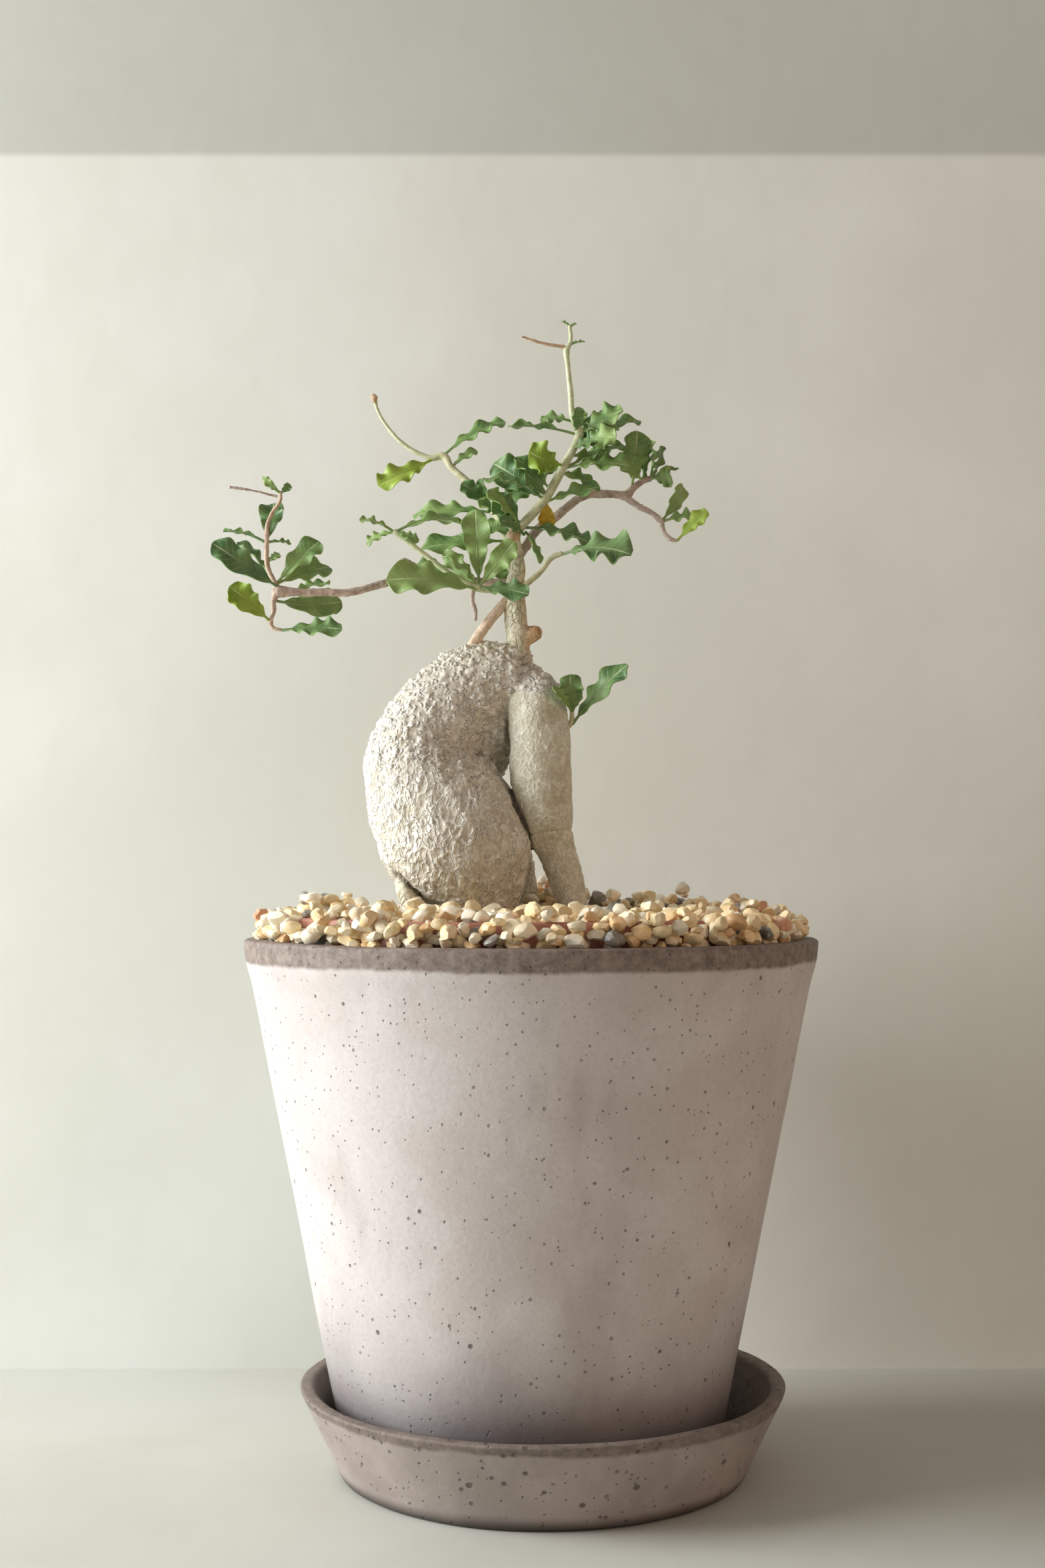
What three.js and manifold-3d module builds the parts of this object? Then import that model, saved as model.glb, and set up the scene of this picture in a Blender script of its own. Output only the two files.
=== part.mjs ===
// A potted fockea: a swollen two-legged caudex with thin leafy stems, growing in a nursery
// liner inside a clay pot that stands in its saucer. Millimetres, +Z up. The origin is the
// centre of the saucer's flat underside, and the plant is seen from -Y.
import * as THREE from "three";
import Module from "manifold-3d";

const wasm = await Module();
wasm.setup();

// ---- driving dimensions ----
const fitGap = 0.3; // air left between pieces that touch
const turnSides = 48; // flats round a thrown or turned piece

const saucer = {
  height: 24.6,
  flare: 11.7, // how much wider the rim is than the base, in radius
  wall: 4.2,
  floor: 4.8,
  edge: 1.1,
  seatRoom: 0.6, // air beside the pot's foot where it comes nearest
};

const outerPot = {
  shift: -3.3, // the pot stands this far off the middle of its saucer
  footRadius: 52.1,
  rimRadius: 80,
  height: 142.9,
  wall: 6.5,
  floor: 7,
  footRounding: 4,
  bandHeight: 6, // upright band under the rim
  bandEase: 6, // height over which the wall swells out to the band
  bandStep: 1.8,
  bandLean: 0.5,
  edge: 1.2,
  drainRadius: 8,
};

const liner = {
  sideRoom: 3.5, // air all round between the liner and the pot
  wall: 2,
  floor: 2.5,
  lipHeight: 10,
  lipThickness: 3,
  proud: 6.3, // height of the liner's rim above the pot's rim
  edge: 0.8,
  drainRadius: 6,
};

const soil = {
  belowPotRim: 4,
};

const gravel = {
  bedDepth: 7.2, // mean thickness of the top dressing
  roughness: 0.9,
  ringDrop: 4, // how far the outer ring reaches down between liner and pot
  ringHeight: 2.6,
  ringOverlap: 4, // how far it lies out over the pot's rim
};

const leafBody = {
  thickness: 0.6,
  stalkWidth: 0.7,
  stalkShare: 0.14, // part of a leaf's length that is bare stalk
  lengthSteps: 7,
};

// ---- heights that follow from them ----
const potFootZ = saucer.floor + fitGap;
const potRimZ = potFootZ + outerPot.height;
const linerFootZ = potFootZ + outerPot.floor + fitGap;
const linerRimZ = potRimZ + liner.proud;
const soilFootZ = linerFootZ + liner.floor + fitGap;
const soilTopZ = potRimZ - soil.belowPotRim;

function finish(colour, roughness, metalness = 0) {
  return new THREE.MeshStandardMaterial({ color: colour, roughness, metalness });
}

const finishes = {
  clay: finish(0xb9b3ac, 0.6),
  plastic: finish(0x8a5a45, 0.7),
  soil: finish(0x3a2d24, 0.95),
  gravel: finish(0xc9bda2, 0.9),
  bark: finish(0xb3a182, 0.85),
  stem: finish(0xa98f72, 0.8),
  leaf: finish(0x5f8a45, 0.55),
  youngLeaf: finish(0x9cb84f, 0.55),
  spentLeaf: finish(0xc9a51d, 0.6),
};

// ---- closed meshes ----

// Shape from corners [radius, height, rounding], turned about the vertical axis.
function turned(corners, closed) {
  const path = new THREE.Path();
  const count = corners.length;
  corners.forEach((corner, index) => {
    const here = new THREE.Vector2(corner[0], corner[1]);
    const rounding = corner[2] ?? 0;
    if (rounding === 0) {
      index === 0 ? path.moveTo(here.x, here.y) : path.lineTo(here.x, here.y);
      return;
    }
    const before = new THREE.Vector2(...corners[(index + count - 1) % count]);
    const after = new THREE.Vector2(...corners[(index + 1) % count]);
    const inPoint = before.sub(here).setLength(rounding).add(here);
    const outPoint = after.sub(here).setLength(rounding).add(here);
    path.lineTo(inPoint.x, inPoint.y);
    path.quadraticCurveTo(here.x, here.y, outPoint.x, outPoint.y);
  });
  if (closed) path.lineTo(corners[0][0], corners[0][1]);
  const geometry = new THREE.LatheGeometry(path.getPoints(2), turnSides);
  geometry.rotateX(Math.PI / 2);
  return toGeometry(toSolid(geometry));
}

function toSolid(geometry) {
  const position = geometry.getAttribute("position");
  const triangles = geometry.index ? geometry.index.array : position.array.keys();
  const places = new Map();
  const vertProperties = [];
  const triVerts = [];
  const merged = [];
  for (let i = 0; i < position.count; i += 1) {
    const corner = [position.getX(i), position.getY(i), position.getZ(i)];
    const key = corner.map((value) => Math.round(value * 1e4)).join(" ");
    if (!places.has(key)) {
      places.set(key, places.size);
      vertProperties.push(...corner);
    }
    merged.push(places.get(key));
  }
  const list = Array.from(triangles);
  for (let i = 0; i < list.length; i += 3) {
    const [a, b, c] = [merged[list[i]], merged[list[i + 1]], merged[list[i + 2]]];
    if (a !== b && b !== c && c !== a) triVerts.push(a, b, c);
  }
  let solid = makeSolid(vertProperties, triVerts);
  if (solid.volume() < 0) {
    for (let i = 0; i < triVerts.length; i += 3) triVerts.splice(i, 2, triVerts[i + 1], triVerts[i]);
    solid = makeSolid(vertProperties, triVerts);
  }
  return solid;
}

function makeSolid(vertProperties, triVerts) {
  const mesh = new wasm.Mesh({
    numProp: 3,
    vertProperties: new Float32Array(vertProperties),
    triVerts: new Uint32Array(triVerts),
  });
  return new wasm.Manifold(mesh);
}

function toGeometry(solid) {
  const mesh = solid.getMesh();
  const geometry = new THREE.BufferGeometry();
  geometry.setAttribute("position", new THREE.BufferAttribute(mesh.vertProperties, 3));
  geometry.setIndex(new THREE.BufferAttribute(mesh.triVerts, 1));
  geometry.computeVertexNormals();
  return geometry;
}

function closedGeometry(corners, faces) {
  const geometry = new THREE.BufferGeometry();
  geometry.setAttribute("position", new THREE.Float32BufferAttribute(corners.flat(), 3));
  geometry.setIndex(faces);
  geometry.computeVertexNormals();
  return geometry;
}

// Round limb through points [x, y, z, radius], closed by a low dome at each end.
function limb(points, { sides = 8, perSpan = 2, grow = 0 } = {}) {
  const centres = points.map((p) => new THREE.Vector3(p[0], p[1], p[2]));
  const curve = new THREE.CatmullRomCurve3(centres, false, "centripetal");
  const steps = (points.length - 1) * perSpan;
  const rings = [];
  for (let i = 0; i <= steps; i += 1) {
    const share = (i / steps) * (points.length - 1);
    const span = Math.min(Math.floor(share), points.length - 2);
    const radius = THREE.MathUtils.lerp(points[span][3], points[span + 1][3], share - span);
    rings.push({
      centre: curve.getPoint(i / steps),
      along: curve.getTangent(i / steps),
      radius: radius + grow,
    });
  }
  const corners = [];
  const faces = [];
  let across = new THREE.Vector3(0, 1, 0);
  if (Math.abs(rings[0].along.y) > 0.9) across = new THREE.Vector3(1, 0, 0);
  rings.forEach(({ centre, along, radius }) => {
    across = across.clone().addScaledVector(along, -across.dot(along)).normalize();
    const beside = along.clone().cross(across);
    for (let k = 0; k < sides; k += 1) {
      const turn = (2 * Math.PI * k) / sides;
      const corner = centre.clone();
      corner.addScaledVector(across, radius * Math.cos(turn));
      corner.addScaledVector(beside, radius * Math.sin(turn));
      corners.push(corner.toArray());
    }
  });
  const first = rings[0];
  const last = rings[steps];
  const startTip = corners.length;
  corners.push(first.centre.clone().addScaledVector(first.along, -first.radius / 2).toArray());
  corners.push(last.centre.clone().addScaledVector(last.along, last.radius / 2).toArray());
  for (let k = 0; k < sides; k += 1) {
    const next = (k + 1) % sides;
    faces.push(startTip, next, k);
    faces.push(startTip + 1, steps * sides + k, steps * sides + next);
    for (let i = 0; i < steps; i += 1) {
      const low = i * sides;
      const high = low + sides;
      faces.push(low + k, low + next, high + next, low + k, high + next, high + k);
    }
  }
  return toSolid(closedGeometry(corners, faces));
}

function joined(limbs, options) {
  return limbs.map((points) => limb(points, options)).reduce((whole, next) => whole.add(next));
}

// What is left of a solid once its neighbours are cut away, without loose scraps.
function largestPart(solid) {
  const parts = solid.decompose();
  return parts.reduce((best, part) => (part.volume() > best.volume() ? part : best));
}

// Disc or ring of stones with an uneven top; outline gives [radius, height, share of unevenness].
function stoneBed(outline, sides, closed, height) {
  const corners = [];
  const faces = [];
  for (let k = 0; k < sides; k += 1) {
    const turn = (2 * Math.PI * k) / sides;
    outline.forEach(([radius, z, share]) => {
      const x = radius * Math.cos(turn);
      const y = radius * Math.sin(turn);
      corners.push([x, y, z + share * height(x, y)]);
    });
  }
  const rows = outline.length;
  const spans = closed ? rows : rows - 1;
  for (let k = 0; k < sides; k += 1) {
    const here = k * rows;
    const next = ((k + 1) % sides) * rows;
    for (let j = 0; j < spans; j += 1) {
      const up = (j + 1) % rows;
      faces.push(here + j, next + j, next + up, here + j, next + up, here + up);
    }
  }
  return toSolid(closedGeometry(corners, faces));
}

function unevenness(x, y) {
  const wide = Math.sin(x * 0.11 + 1.3) * Math.cos(y * 0.13 + 0.4);
  const fine = Math.sin(x * 0.47 + y * 0.31) + Math.sin(y * 0.53 - x * 0.23 + 2);
  return gravel.roughness * (wide + 0.45 * fine);
}

// ---- holder ----
const bandFoot = outerPot.height - outerPot.bandHeight;
const bandRadius = outerPot.rimRadius - outerPot.bandLean;
const wallTop = [bandRadius - outerPot.bandStep, bandFoot - outerPot.bandEase];
const wallFlare = (wallTop[0] - outerPot.footRadius) / wallTop[1];

// Inner face of the outer pot at a height above its foot.
function potInside(z) {
  const rimInside = outerPot.rimRadius - outerPot.wall;
  return rimInside - (outerPot.height - z) * wallFlare;
}

// The saucer opens just wide enough to clear the pot, which stands off its middle.
function makeSaucer() {
  const { height, flare, wall, floor, edge, seatRoom } = saucer;
  const slope = flare / height;
  const nearZ = potFootZ + outerPot.footRounding;
  const potRadius = outerPot.footRadius + outerPot.footRounding * wallFlare;
  const nearRadius = potRadius + Math.abs(outerPot.shift) + seatRoom;
  const baseRadius = nearRadius + wall - slope * nearZ;
  return turned(
    [
      [0, 0],
      [baseRadius, 0, edge],
      [baseRadius + flare, height, edge],
      [baseRadius + flare - wall, height, edge],
      [baseRadius + slope * floor - wall, floor, edge],
      [0, floor],
    ],
    false,
  );
}

function makeOuterPot() {
  const { height, floor, edge, rimRadius, drainRadius } = outerPot;
  return turned(
    [
      [drainRadius, 0],
      [outerPot.footRadius, 0, outerPot.footRounding],
      [...wallTop, 1],
      [bandRadius, bandFoot, edge],
      [rimRadius, height, edge],
      [potInside(height), height, edge],
      [potInside(floor), floor, edge],
      [drainRadius, floor],
    ],
    true,
  );
}

const linerHeight = linerRimZ - linerFootZ;
const linerRim = potInside(outerPot.height) - liner.sideRoom;
const linerBase = potInside(outerPot.floor) - liner.sideRoom;
const linerBore = linerRim - liner.lipThickness;
const linerFlare = (linerBore - (linerBase - liner.wall)) / linerHeight;

// Inner face of the liner at a height above its foot.
function linerInside(z) {
  return linerBore - (linerHeight - z) * linerFlare;
}

function makeLiner() {
  const lipFoot = linerHeight - liner.lipHeight;
  return turned(
    [
      [liner.drainRadius, 0],
      [linerBase, 0, liner.edge],
      [linerInside(lipFoot) + liner.wall, lipFoot],
      [linerRim, lipFoot, liner.edge],
      [linerRim, linerHeight, liner.edge],
      [linerBore, linerHeight, liner.edge],
      [linerInside(liner.floor), liner.floor, liner.edge],
      [liner.drainRadius, liner.floor],
    ],
    true,
  );
}

// ---- plant ----
// Points are [x, y, z, radius] from the pot's axis at the height of the pot's rim.
const caudexLimbs = [
  // belly, from the crown down the left side into the root
  [
    [-4, 0, 71, 10],
    [-10, 0, 71.3, 11.1],
    [-16.5, 0, 69.3, 12],
    [-23, 0, 64, 12.9],
    [-28.2, 0, 57.2, 14.2],
    [-30, 0, 49.7, 16.6],
    [-28, 0, 41.7, 18.6],
    [-23.8, 0, 32, 20.5],
    [-20.3, 0, 24.5, 20.8],
    [-18.2, 0, 18, 19],
    [-16.6, 0, 12, 14.8],
    [-16, 0, 6.5, 10.8],
    [-16, 0, -5, 7.5],
    [-15, 0, -18, 4],
  ],
  // neck under the crown, filling in beside the right leg
  [
    [-10, 2, 68, 9],
    [-11.4, 4, 60, 9],
    [-12, 5, 53, 8],
    [-11, 5.5, 48.5, 5.4],
  ],
  // right leg
  [
    [-3.6, -1, 69.5, 8],
    [-0.4, -3, 67, 8.2],
    [1.4, -4.5, 64, 8.2],
    [1.9, -5, 60, 8.1],
    [2.3, -5, 52.9, 8.4],
    [2.6, -4.5, 46.9, 8.5],
    [3.1, -4, 40.9, 8.4],
    [3.8, -2.5, 35, 7.9],
    [5, -1, 30.1, 6.7],
    [6.8, 0, 25.4, 5.6],
    [8.6, 0, 19.8, 4.9],
    [10.3, 0, 14.2, 4.6],
    [11.8, 0, 7.7, 4.6],
    [13, 1, 0, 4.4],
    [14, 2, -12, 2.6],
  ],
  // thin leg behind
  [
    [-8, 4, 67, 6],
    [-9.9, 9, 62.9, 5.8],
    [-12.1, 13, 54.3, 4.9],
    [-11.7, 15, 44.7, 3.9],
    [-7.9, 17, 33.2, 3.4],
    [-3.1, 18, 21.7, 3.2],
    [-1.2, 18, 12.2, 3.2],
    [-0.9, 18, 6.4, 3.2],
    [0, 17, -8, 2.2],
  ],
  // side root low on the left
  [
    [-32.8, -5, 22.5, 3],
    [-35, -8, 18.5, 2.5],
    [-34.8, -10.2, 14, 2.4],
    [-33.2, -11, 9.5, 2.9],
    [-31.2, -10.4, 4.5, 3.5],
    [-28, -8, -4, 3],
  ],
  // root flare behind the right foot
  [
    [11, 3, 11, 3.2],
    [15, 5, 6, 2.8],
    [17, 6, 0, 2.2],
    [17, 6, -8, 1.4],
  ],
  // old trunk
  [
    [-4.6, 0, 76.5, 4.8],
    [-3.9, 0, 80.4, 3.6],
    [-3.7, 0, 84, 3.2],
    [-4.2, 0, 88.1, 3.1],
    [-4.4, 0, 92.7, 3],
    [-4.6, 0, 98.3, 2.7],
    [-3.6, 0, 104, 2],
    [-4.6, 0, 110, 1.7],
    [-5, 0, 113, 1.9],
  ],
  // scarred stub on the trunk
  [
    [-3, 0, 84, 2],
    [-0.6, -0.5, 84.5, 2.2],
    [1, -0.5, 85.2, 2.3],
    [2, -0.5, 85.8, 1.9],
  ],
];

const stems = {
  pink_stem: [
    [
      [-16.7, -1, 81, 1.6],
      [-12.6, -1.5, 87.4, 1.5],
      [-8.6, -1, 92.3, 1.4],
      [-5, 0, 96.5, 1.2],
    ],
  ],
  // long creeping vine with its cut end and the two shoots at its tip
  long_vine: [
    [
      [-5, 1.2, 99.2, 1.3],
      [-14.7, 2, 99.9, 1.3],
      [-19.6, 1.5, 100.4, 1.3],
      [-29.2, 0, 102.2, 1.3],
      [-36, -1, 105, 1.5],
    ],
    [
      [-28, 0, 101.8, 1.2],
      [-33, -1, 101.4, 1.2],
      [-40.4, -3, 99, 1.25],
      [-51.2, -6, 95.8, 1.25],
      [-54.2, -6.4, 95.8, 1.2],
      [-68.8, -8, 95.7, 1.5],
      [-70.9, -8, 96, 1.2],
    ],
    [
      [-69.6, -8, 95.9, 1],
      [-70.7, -8, 98, 0.8],
      [-72.3, -8, 101.3, 0.7],
      [-73, -8, 104, 0.7],
      [-73, -8, 109.6, 0.65],
      [-72.8, -7.5, 114.7, 0.6],
      [-71.2, -7, 118.5, 0.55],
      [-69.4, -7, 121.4, 0.5],
      [-69.4, -7, 123.4, 0.4],
    ],
    [
      [-70, -8, 95.5, 1],
      [-71.1, -8, 93.5, 0.8],
      [-71.1, -8, 90.5, 0.7],
      [-71.9, -8, 87.8, 0.6],
      [-71.5, -8, 86, 0.6],
      [-69.2, -8, 85.3, 0.5],
    ],
    [
      [-70.2, -7, 122.3, 0.4],
      [-77, -8, 123.8, 0.35],
      [-83.3, -9, 124.5, 0.4],
    ],
  ],
  upper_left_twig: [
    [
      [-4.6, 2, 100.5, 1.1],
      [-6.3, 3, 106, 1.1],
      [-6.7, 3.5, 111.9, 1.05],
      [-8.8, 4, 117.4, 1],
      [-10.8, 5, 120.6, 1],
      [-17.4, 6, 128.4, 1],
      [-22.6, 7, 133.2, 0.95],
      [-25, 8, 136.5, 1.2],
      [-28.1, 8, 136, 0.8],
      [-31.1, 8, 137, 0.65],
      [-35.7, 8, 139.6, 0.6],
      [-40.2, 8, 144.1, 0.55],
      [-43.8, 8, 150.2, 0.5],
      [-44.3, 8, 152.8, 0.7],
    ],
  ],
  green_twig: [
    [
      [-5, -1.5, 97.2, 0.9],
      [-8.5, -2.8, 97, 0.9],
      [-14.6, -4, 97.4, 1.1],
      [-21.5, -5, 100.6, 0.85],
      [-30.3, -6, 107, 0.75],
      [-37.8, -7, 112.7, 0.8],
    ],
  ],
  dead_twig: [
    [
      [-16, -3.6, 98, 0.6],
      [-16.4, -3.4, 94, 0.7],
      [-15.6, -3.2, 91.5, 0.6],
      [-15.4, -3, 88.6, 0.5],
    ],
  ],
  main_green_stem: [
    [
      [-4.6, 0, 112.5, 1.4],
      [-2.4, -1, 115.4, 1.3],
      [3.8, -2, 122.4, 1.3],
      [9.2, -3, 131.6, 1.2],
      [12.8, -3, 138.5, 1.1],
      [13.4, -3, 140.6, 1.4],
      [11.8, -3, 144.6, 0.9],
      [11, -3, 152.6, 0.8],
      [10.2, -3, 160.4, 0.7],
      [10, -3, 164, 0.9],
      [11, -3, 166.1, 0.6],
      [10.8, -3, 170.8, 0.5],
    ],
    [
      [9.8, -3, 164.6, 0.6],
      [3, -4, 165.6, 0.4],
      [-2.5, -5, 167.1, 0.35],
    ],
  ],
  right_branch: [
    [
      [-3.8, 0.5, 106.5, 1.3],
      [-1, 2, 110.5, 1.3],
      [1.4, 3, 114.4, 1.3],
      [6.7, 4, 118.3, 1.25],
      [11, 5, 122.1, 1.2],
      [15.2, 5, 124.8, 1.2],
      [20, 6, 125.5, 1.2],
      [24.8, 6, 125.2, 1.2],
      [26.9, 6, 125, 1.4],
      [29, 6.5, 127.1, 1],
      [31.7, 7, 129.2, 0.9],
      [34.3, 7, 130.1, 0.8],
    ],
    [
      [26, 6, 125, 1],
      [30.6, 5, 121.7, 0.9],
      [34.8, 5, 119.5, 0.8],
      [36.8, 5, 117.4, 0.9],
      [37.4, 4.5, 115.2, 0.7],
      [39, 4, 112.6, 0.7],
      [41.1, 4, 111.8, 0.5],
    ],
  ],
  big_leaf_stalk: [
    [
      [-3, -1.5, 97.5, 0.9],
      [2.5, -3, 101.9, 0.8],
      [5.9, -4, 105.9, 0.75],
      [8.7, -5, 106.9, 0.7],
    ],
  ],
  leg_sprout: [
    [
      [8.6, -5, 57.5, 0.9],
      [11, -5.5, 59.6, 0.8],
      [11.4, -6.5, 62.6, 0.6],
    ],
  ],
};

// Leaves: stem and limb they grow on, the limb's point, where the tip reaches, blade width,
// the way the upper face looks, arch out of the face and sideways sweep (shares of length).
const leaves = [
  ["vine_leaf_1", "long_vine", 1, 6, [-87.1, -15, 108.1], 7.8, [-0.2, -0.9, 0.4], 0.06, 0.02],
  ["vine_leaf_2", "long_vine", 2, 2, [-81.5, -2, 110.6], 4.6, [0.5, -0.5, 0.7], 0.05, 0],
  ["vine_leaf_3", "long_vine", 2, 4, [-85.2, -7, 112.7], 4.5, [0, -0.1, 1], 0.08, 0],
  ["vine_leaf_4", "long_vine", 2, 4, [-72, -1, 121.5], 7, [0, -1, 0.2], 0.06, 0],
  ["vine_leaf_5", "long_vine", 3, 3, [-82.6, -13, 96.6], 7.6, [-0.1, -0.95, 0.3], 0.05, 0],
  ["vine_leaf_6", "long_vine", 3, 5, [-51.9, -12, 85.1], 6.5, [0, -0.75, 0.65], 0.03, 0],
  ["vine_leaf_7", "long_vine", 3, 1, [-53.3, 3, 94.5], 8, [0, -1, 0.1], 0.02, -0.05],
  ["vine_leaf_8", "long_vine", 2, 1, [-58.8, -5, 110.2], 7.4, [-0.3, -0.9, 0.3], 0.06, 0],
  ["vine_leaf_9", "long_vine", 2, 1, [-56.9, 4, 104.5], 6.8, [0, -0.9, 0.4], 0.05, 0],
  ["vine_leaf_10", "long_vine", 1, 5, [-57.5, 6, 100], 5, [0, -0.5, 0.85], 0.05, 0],
  ["twig_leaf_1", "upper_left_twig", 0, 8, [-43, 3, 127.2], 8, [-0.2, -0.9, 0.35], 0.06, 0.04],
  ["twig_leaf_2", "upper_left_twig", 0, 7, [-7.3, 11, 147.1], 6.2, [-0.3, -0.7, 0.6], 0.08, 0],
  ["twig_leaf_3", "upper_left_twig", 0, 4, [-33.6, 9, 119.7], 7, [-0.1, -0.75, 0.65], 0.06, 0],
  ["twig_leaf_4", "upper_left_twig", 0, 2, [-30.9, 4, 109.7], 7.5, [0, -0.8, 0.6], 0.04, 0],
  ["green_leaf_1", "green_twig", 0, 5, [-18.2, 0, 115.4], 6.5, [0, -0.6, 0.8], 0.14, 0],
  ["green_leaf_2", "green_twig", 0, 5, [-47.3, -10, 115.3], 4.5, [0, -0.5, 0.9], 0.1, 0],
  ["green_leaf_3", "green_twig", 0, 2, [-15.6, -3.5, 119.4], 8, [0, -1, 0.1], 0.08, 0],
  ["green_leaf_4", "green_twig", 0, 2, [-24.8, 1.6, 108], 6, [0, 0.8, 0.5], 0.05, 0],
  ["green_leaf_5", "green_twig", 0, 2, [-4.6, -12, 109.2], 6.5, [0.4, -0.8, 0.4], 0.05, 0],
  ["green_leaf_6", "green_twig", 0, 2, [-39.6, -13, 98.4], 10.5, [0, -0.85, 0.5], 0.08, 0],
  ["green_leaf_7", "green_twig", 0, 2, [-0.7, -10, 94.9], 7, [0.1, -0.85, 0.5], 0.04, 0],
  ["main_leaf_1", "main_green_stem", 0, 1, [-10.1, -5, 122.7], 7.4, [-0.3, -0.9, 0.3], 0.06, 0],
  ["main_leaf_2", "main_green_stem", 0, 2, [-10.5, 1, 133], 9.5, [-0.4, -0.8, 0.4], 0.08, 0],
  ["main_leaf_3", "main_green_stem", 0, 2, [-13.2, -12, 126], 6, [0, -0.5, 0.8], 0.1, 0],
  ["main_leaf_4", "main_green_stem", 0, 3, [-0.6, -8, 134.4], 9.5, [0.2, -1, 0.2], 0.12, 0.12],
  ["main_leaf_5", "main_green_stem", 0, 3, [0.4, 2, 129.5], 6, [0, -0.9, 0.4], 0.05, 0],
  ["main_leaf_6", "main_green_stem", 0, 5, [-6.4, -8, 141.5], 6, [0, -0.15, 1], 0.05, 0],
  ["main_leaf_7", "main_green_stem", 0, 5, [25.4, -7, 146.2], 8.4, [-0.3, -0.8, 0.5], 0.06, 0],
  ["main_leaf_8", "main_green_stem", 0, 5, [30.9, 1, 145], 5.5, [0, -0.5, 0.85], 0.05, 0],
  ["main_leaf_9", "main_green_stem", 0, 4, [23.4, -10.6, 138], 7, [-0.5, -0.8, 0.3], 0.05, 0],
  ["main_leaf_10", "main_green_stem", 0, 3, [27, 0, 137.8], 6.5, [-0.2, -0.6, 0.8], 0.06, 0],
  ["main_leaf_11", "main_green_stem", 0, 3, [27.4, -6, 131], 7.5, [0, -0.6, 0.8], 0.06, 0],
  ["main_leaf_12", "main_green_stem", 0, 2, [19.3, -3, 125.6], 6.5, [0, -0.7, 0.7], 0.05, 0],
  ["spent_leaf", "main_green_stem", 0, 2, [4.4, 0.5, 115.4], 5, [0, -1, 0], 0.05, 0],
  ["branch_leaf_1", "right_branch", 0, 9, [30, 3, 142.6], 8, [0.2, -0.95, 0.2], 0.05, 0],
  ["branch_leaf_2", "right_branch", 0, 11, [34.1, 12, 142.2], 6, [1, 0, 0.3], 0.05, 0],
  ["branch_leaf_3", "right_branch", 0, 11, [39.6, 2, 129.4], 6.5, [0, 0.9, 0.3], 0.04, 0],
  ["branch_leaf_4", "right_branch", 1, 6, [49.6, 1, 119.8], 5, [-0.4, -0.8, 0.2], 0.05, 0],
  ["branch_leaf_5", "right_branch", 1, 3, [47.6, 6, 119.2], 6, [0, -0.6, 0.8], 0.05, 0],
  ["branch_leaf_6", "right_branch", 1, 3, [43.9, 14, 129], 5, [0.6, -0.7, 0.2], 0.05, 0],
  ["trunk_leaf_1", "big_leaf_stalk", 0, 3, [27.3, -15, 105], 13, [-0.1, -0.7, 0.7], 0.1, 0],
  ["trunk_leaf_2", "main_green_stem", 0, 1, [16.8, -2, 110.3], 8, [0.2, -0.6, 0.8], 0.06, 0],
  ["sprout_leaf_1", "leg_sprout", 0, 2, [10.6, -12.5, 72.5], 7, [0, -1, 0.1], 0.05, 0],
  ["sprout_leaf_2", "leg_sprout", 0, 1, [26.5, -11, 75.4], 7.5, [-0.4, -0.8, 0.4], 0.06, 0],
];

const youngLeaves = ["vine_leaf_5", "main_leaf_4", "twig_leaf_1", "branch_leaf_4"];

// Wavy obovate blade on a short stalk, from its base to its tip.
function leafSolid(base, tip, width, face, arch, sweep, phase) {
  const along = tip.clone().sub(base);
  const length = along.length();
  along.normalize();
  const out = face.clone().addScaledVector(along, -face.dot(along)).normalize();
  const side = out.clone().cross(along);
  const { thickness, stalkWidth, stalkShare, lengthSteps } = leafBody;
  const fold = THREE.MathUtils.degToRad(24);
  const corners = [];
  for (let i = 0; i <= lengthSteps; i += 1) {
    const u = i / lengthSteps;
    const blade = Math.max(0, (u - stalkShare) / (1 - stalkShare));
    const shape = (blade ** 0.75 * Math.sqrt(1 - blade ** 3.5)) / 0.647;
    const half = Math.max(stalkWidth / 2, (width / 2) * shape);
    const hump = 4 * u * (1 - u) * length;
    for (const v of [-1, 0, 1]) {
      const ripple = 0.09 * width * shape * Math.sin(4 * Math.PI * u + phase + (v < 0 ? 2.2 : 0));
      const rise = shape * half * Math.sin(fold) + ripple;
      const corner = base.clone().addScaledVector(along, length * u);
      corner.addScaledVector(side, half * v * Math.cos(fold) + sweep * hump);
      corner.addScaledVector(out, Math.abs(v) * rise + arch * hump);
      corners.push(corner.clone().addScaledVector(out, thickness / 2).toArray());
      corners.push(corner.clone().addScaledVector(out, -thickness / 2).toArray());
    }
  }
  const faces = [];
  const quad = (a, b, c, d) => faces.push(a, b, c, a, c, d);
  for (let i = 0; i < lengthSteps; i += 1) {
    const here = i * 6;
    const next = here + 6;
    for (const j of [0, 2]) {
      quad(here + j, next + j, next + j + 2, here + j + 2);
      quad(here + j + 1, here + j + 3, next + j + 3, next + j + 1);
    }
    quad(here + 1, next + 1, next, here);
    quad(here + 5, here + 4, next + 4, next + 5);
  }
  const end = lengthSteps * 6;
  for (const j of [0, 2]) {
    quad(j + 1, j, j + 2, j + 3);
    quad(end + j, end + j + 1, end + j + 3, end + j + 2);
  }
  return closedGeometry(corners, faces);
}

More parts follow.
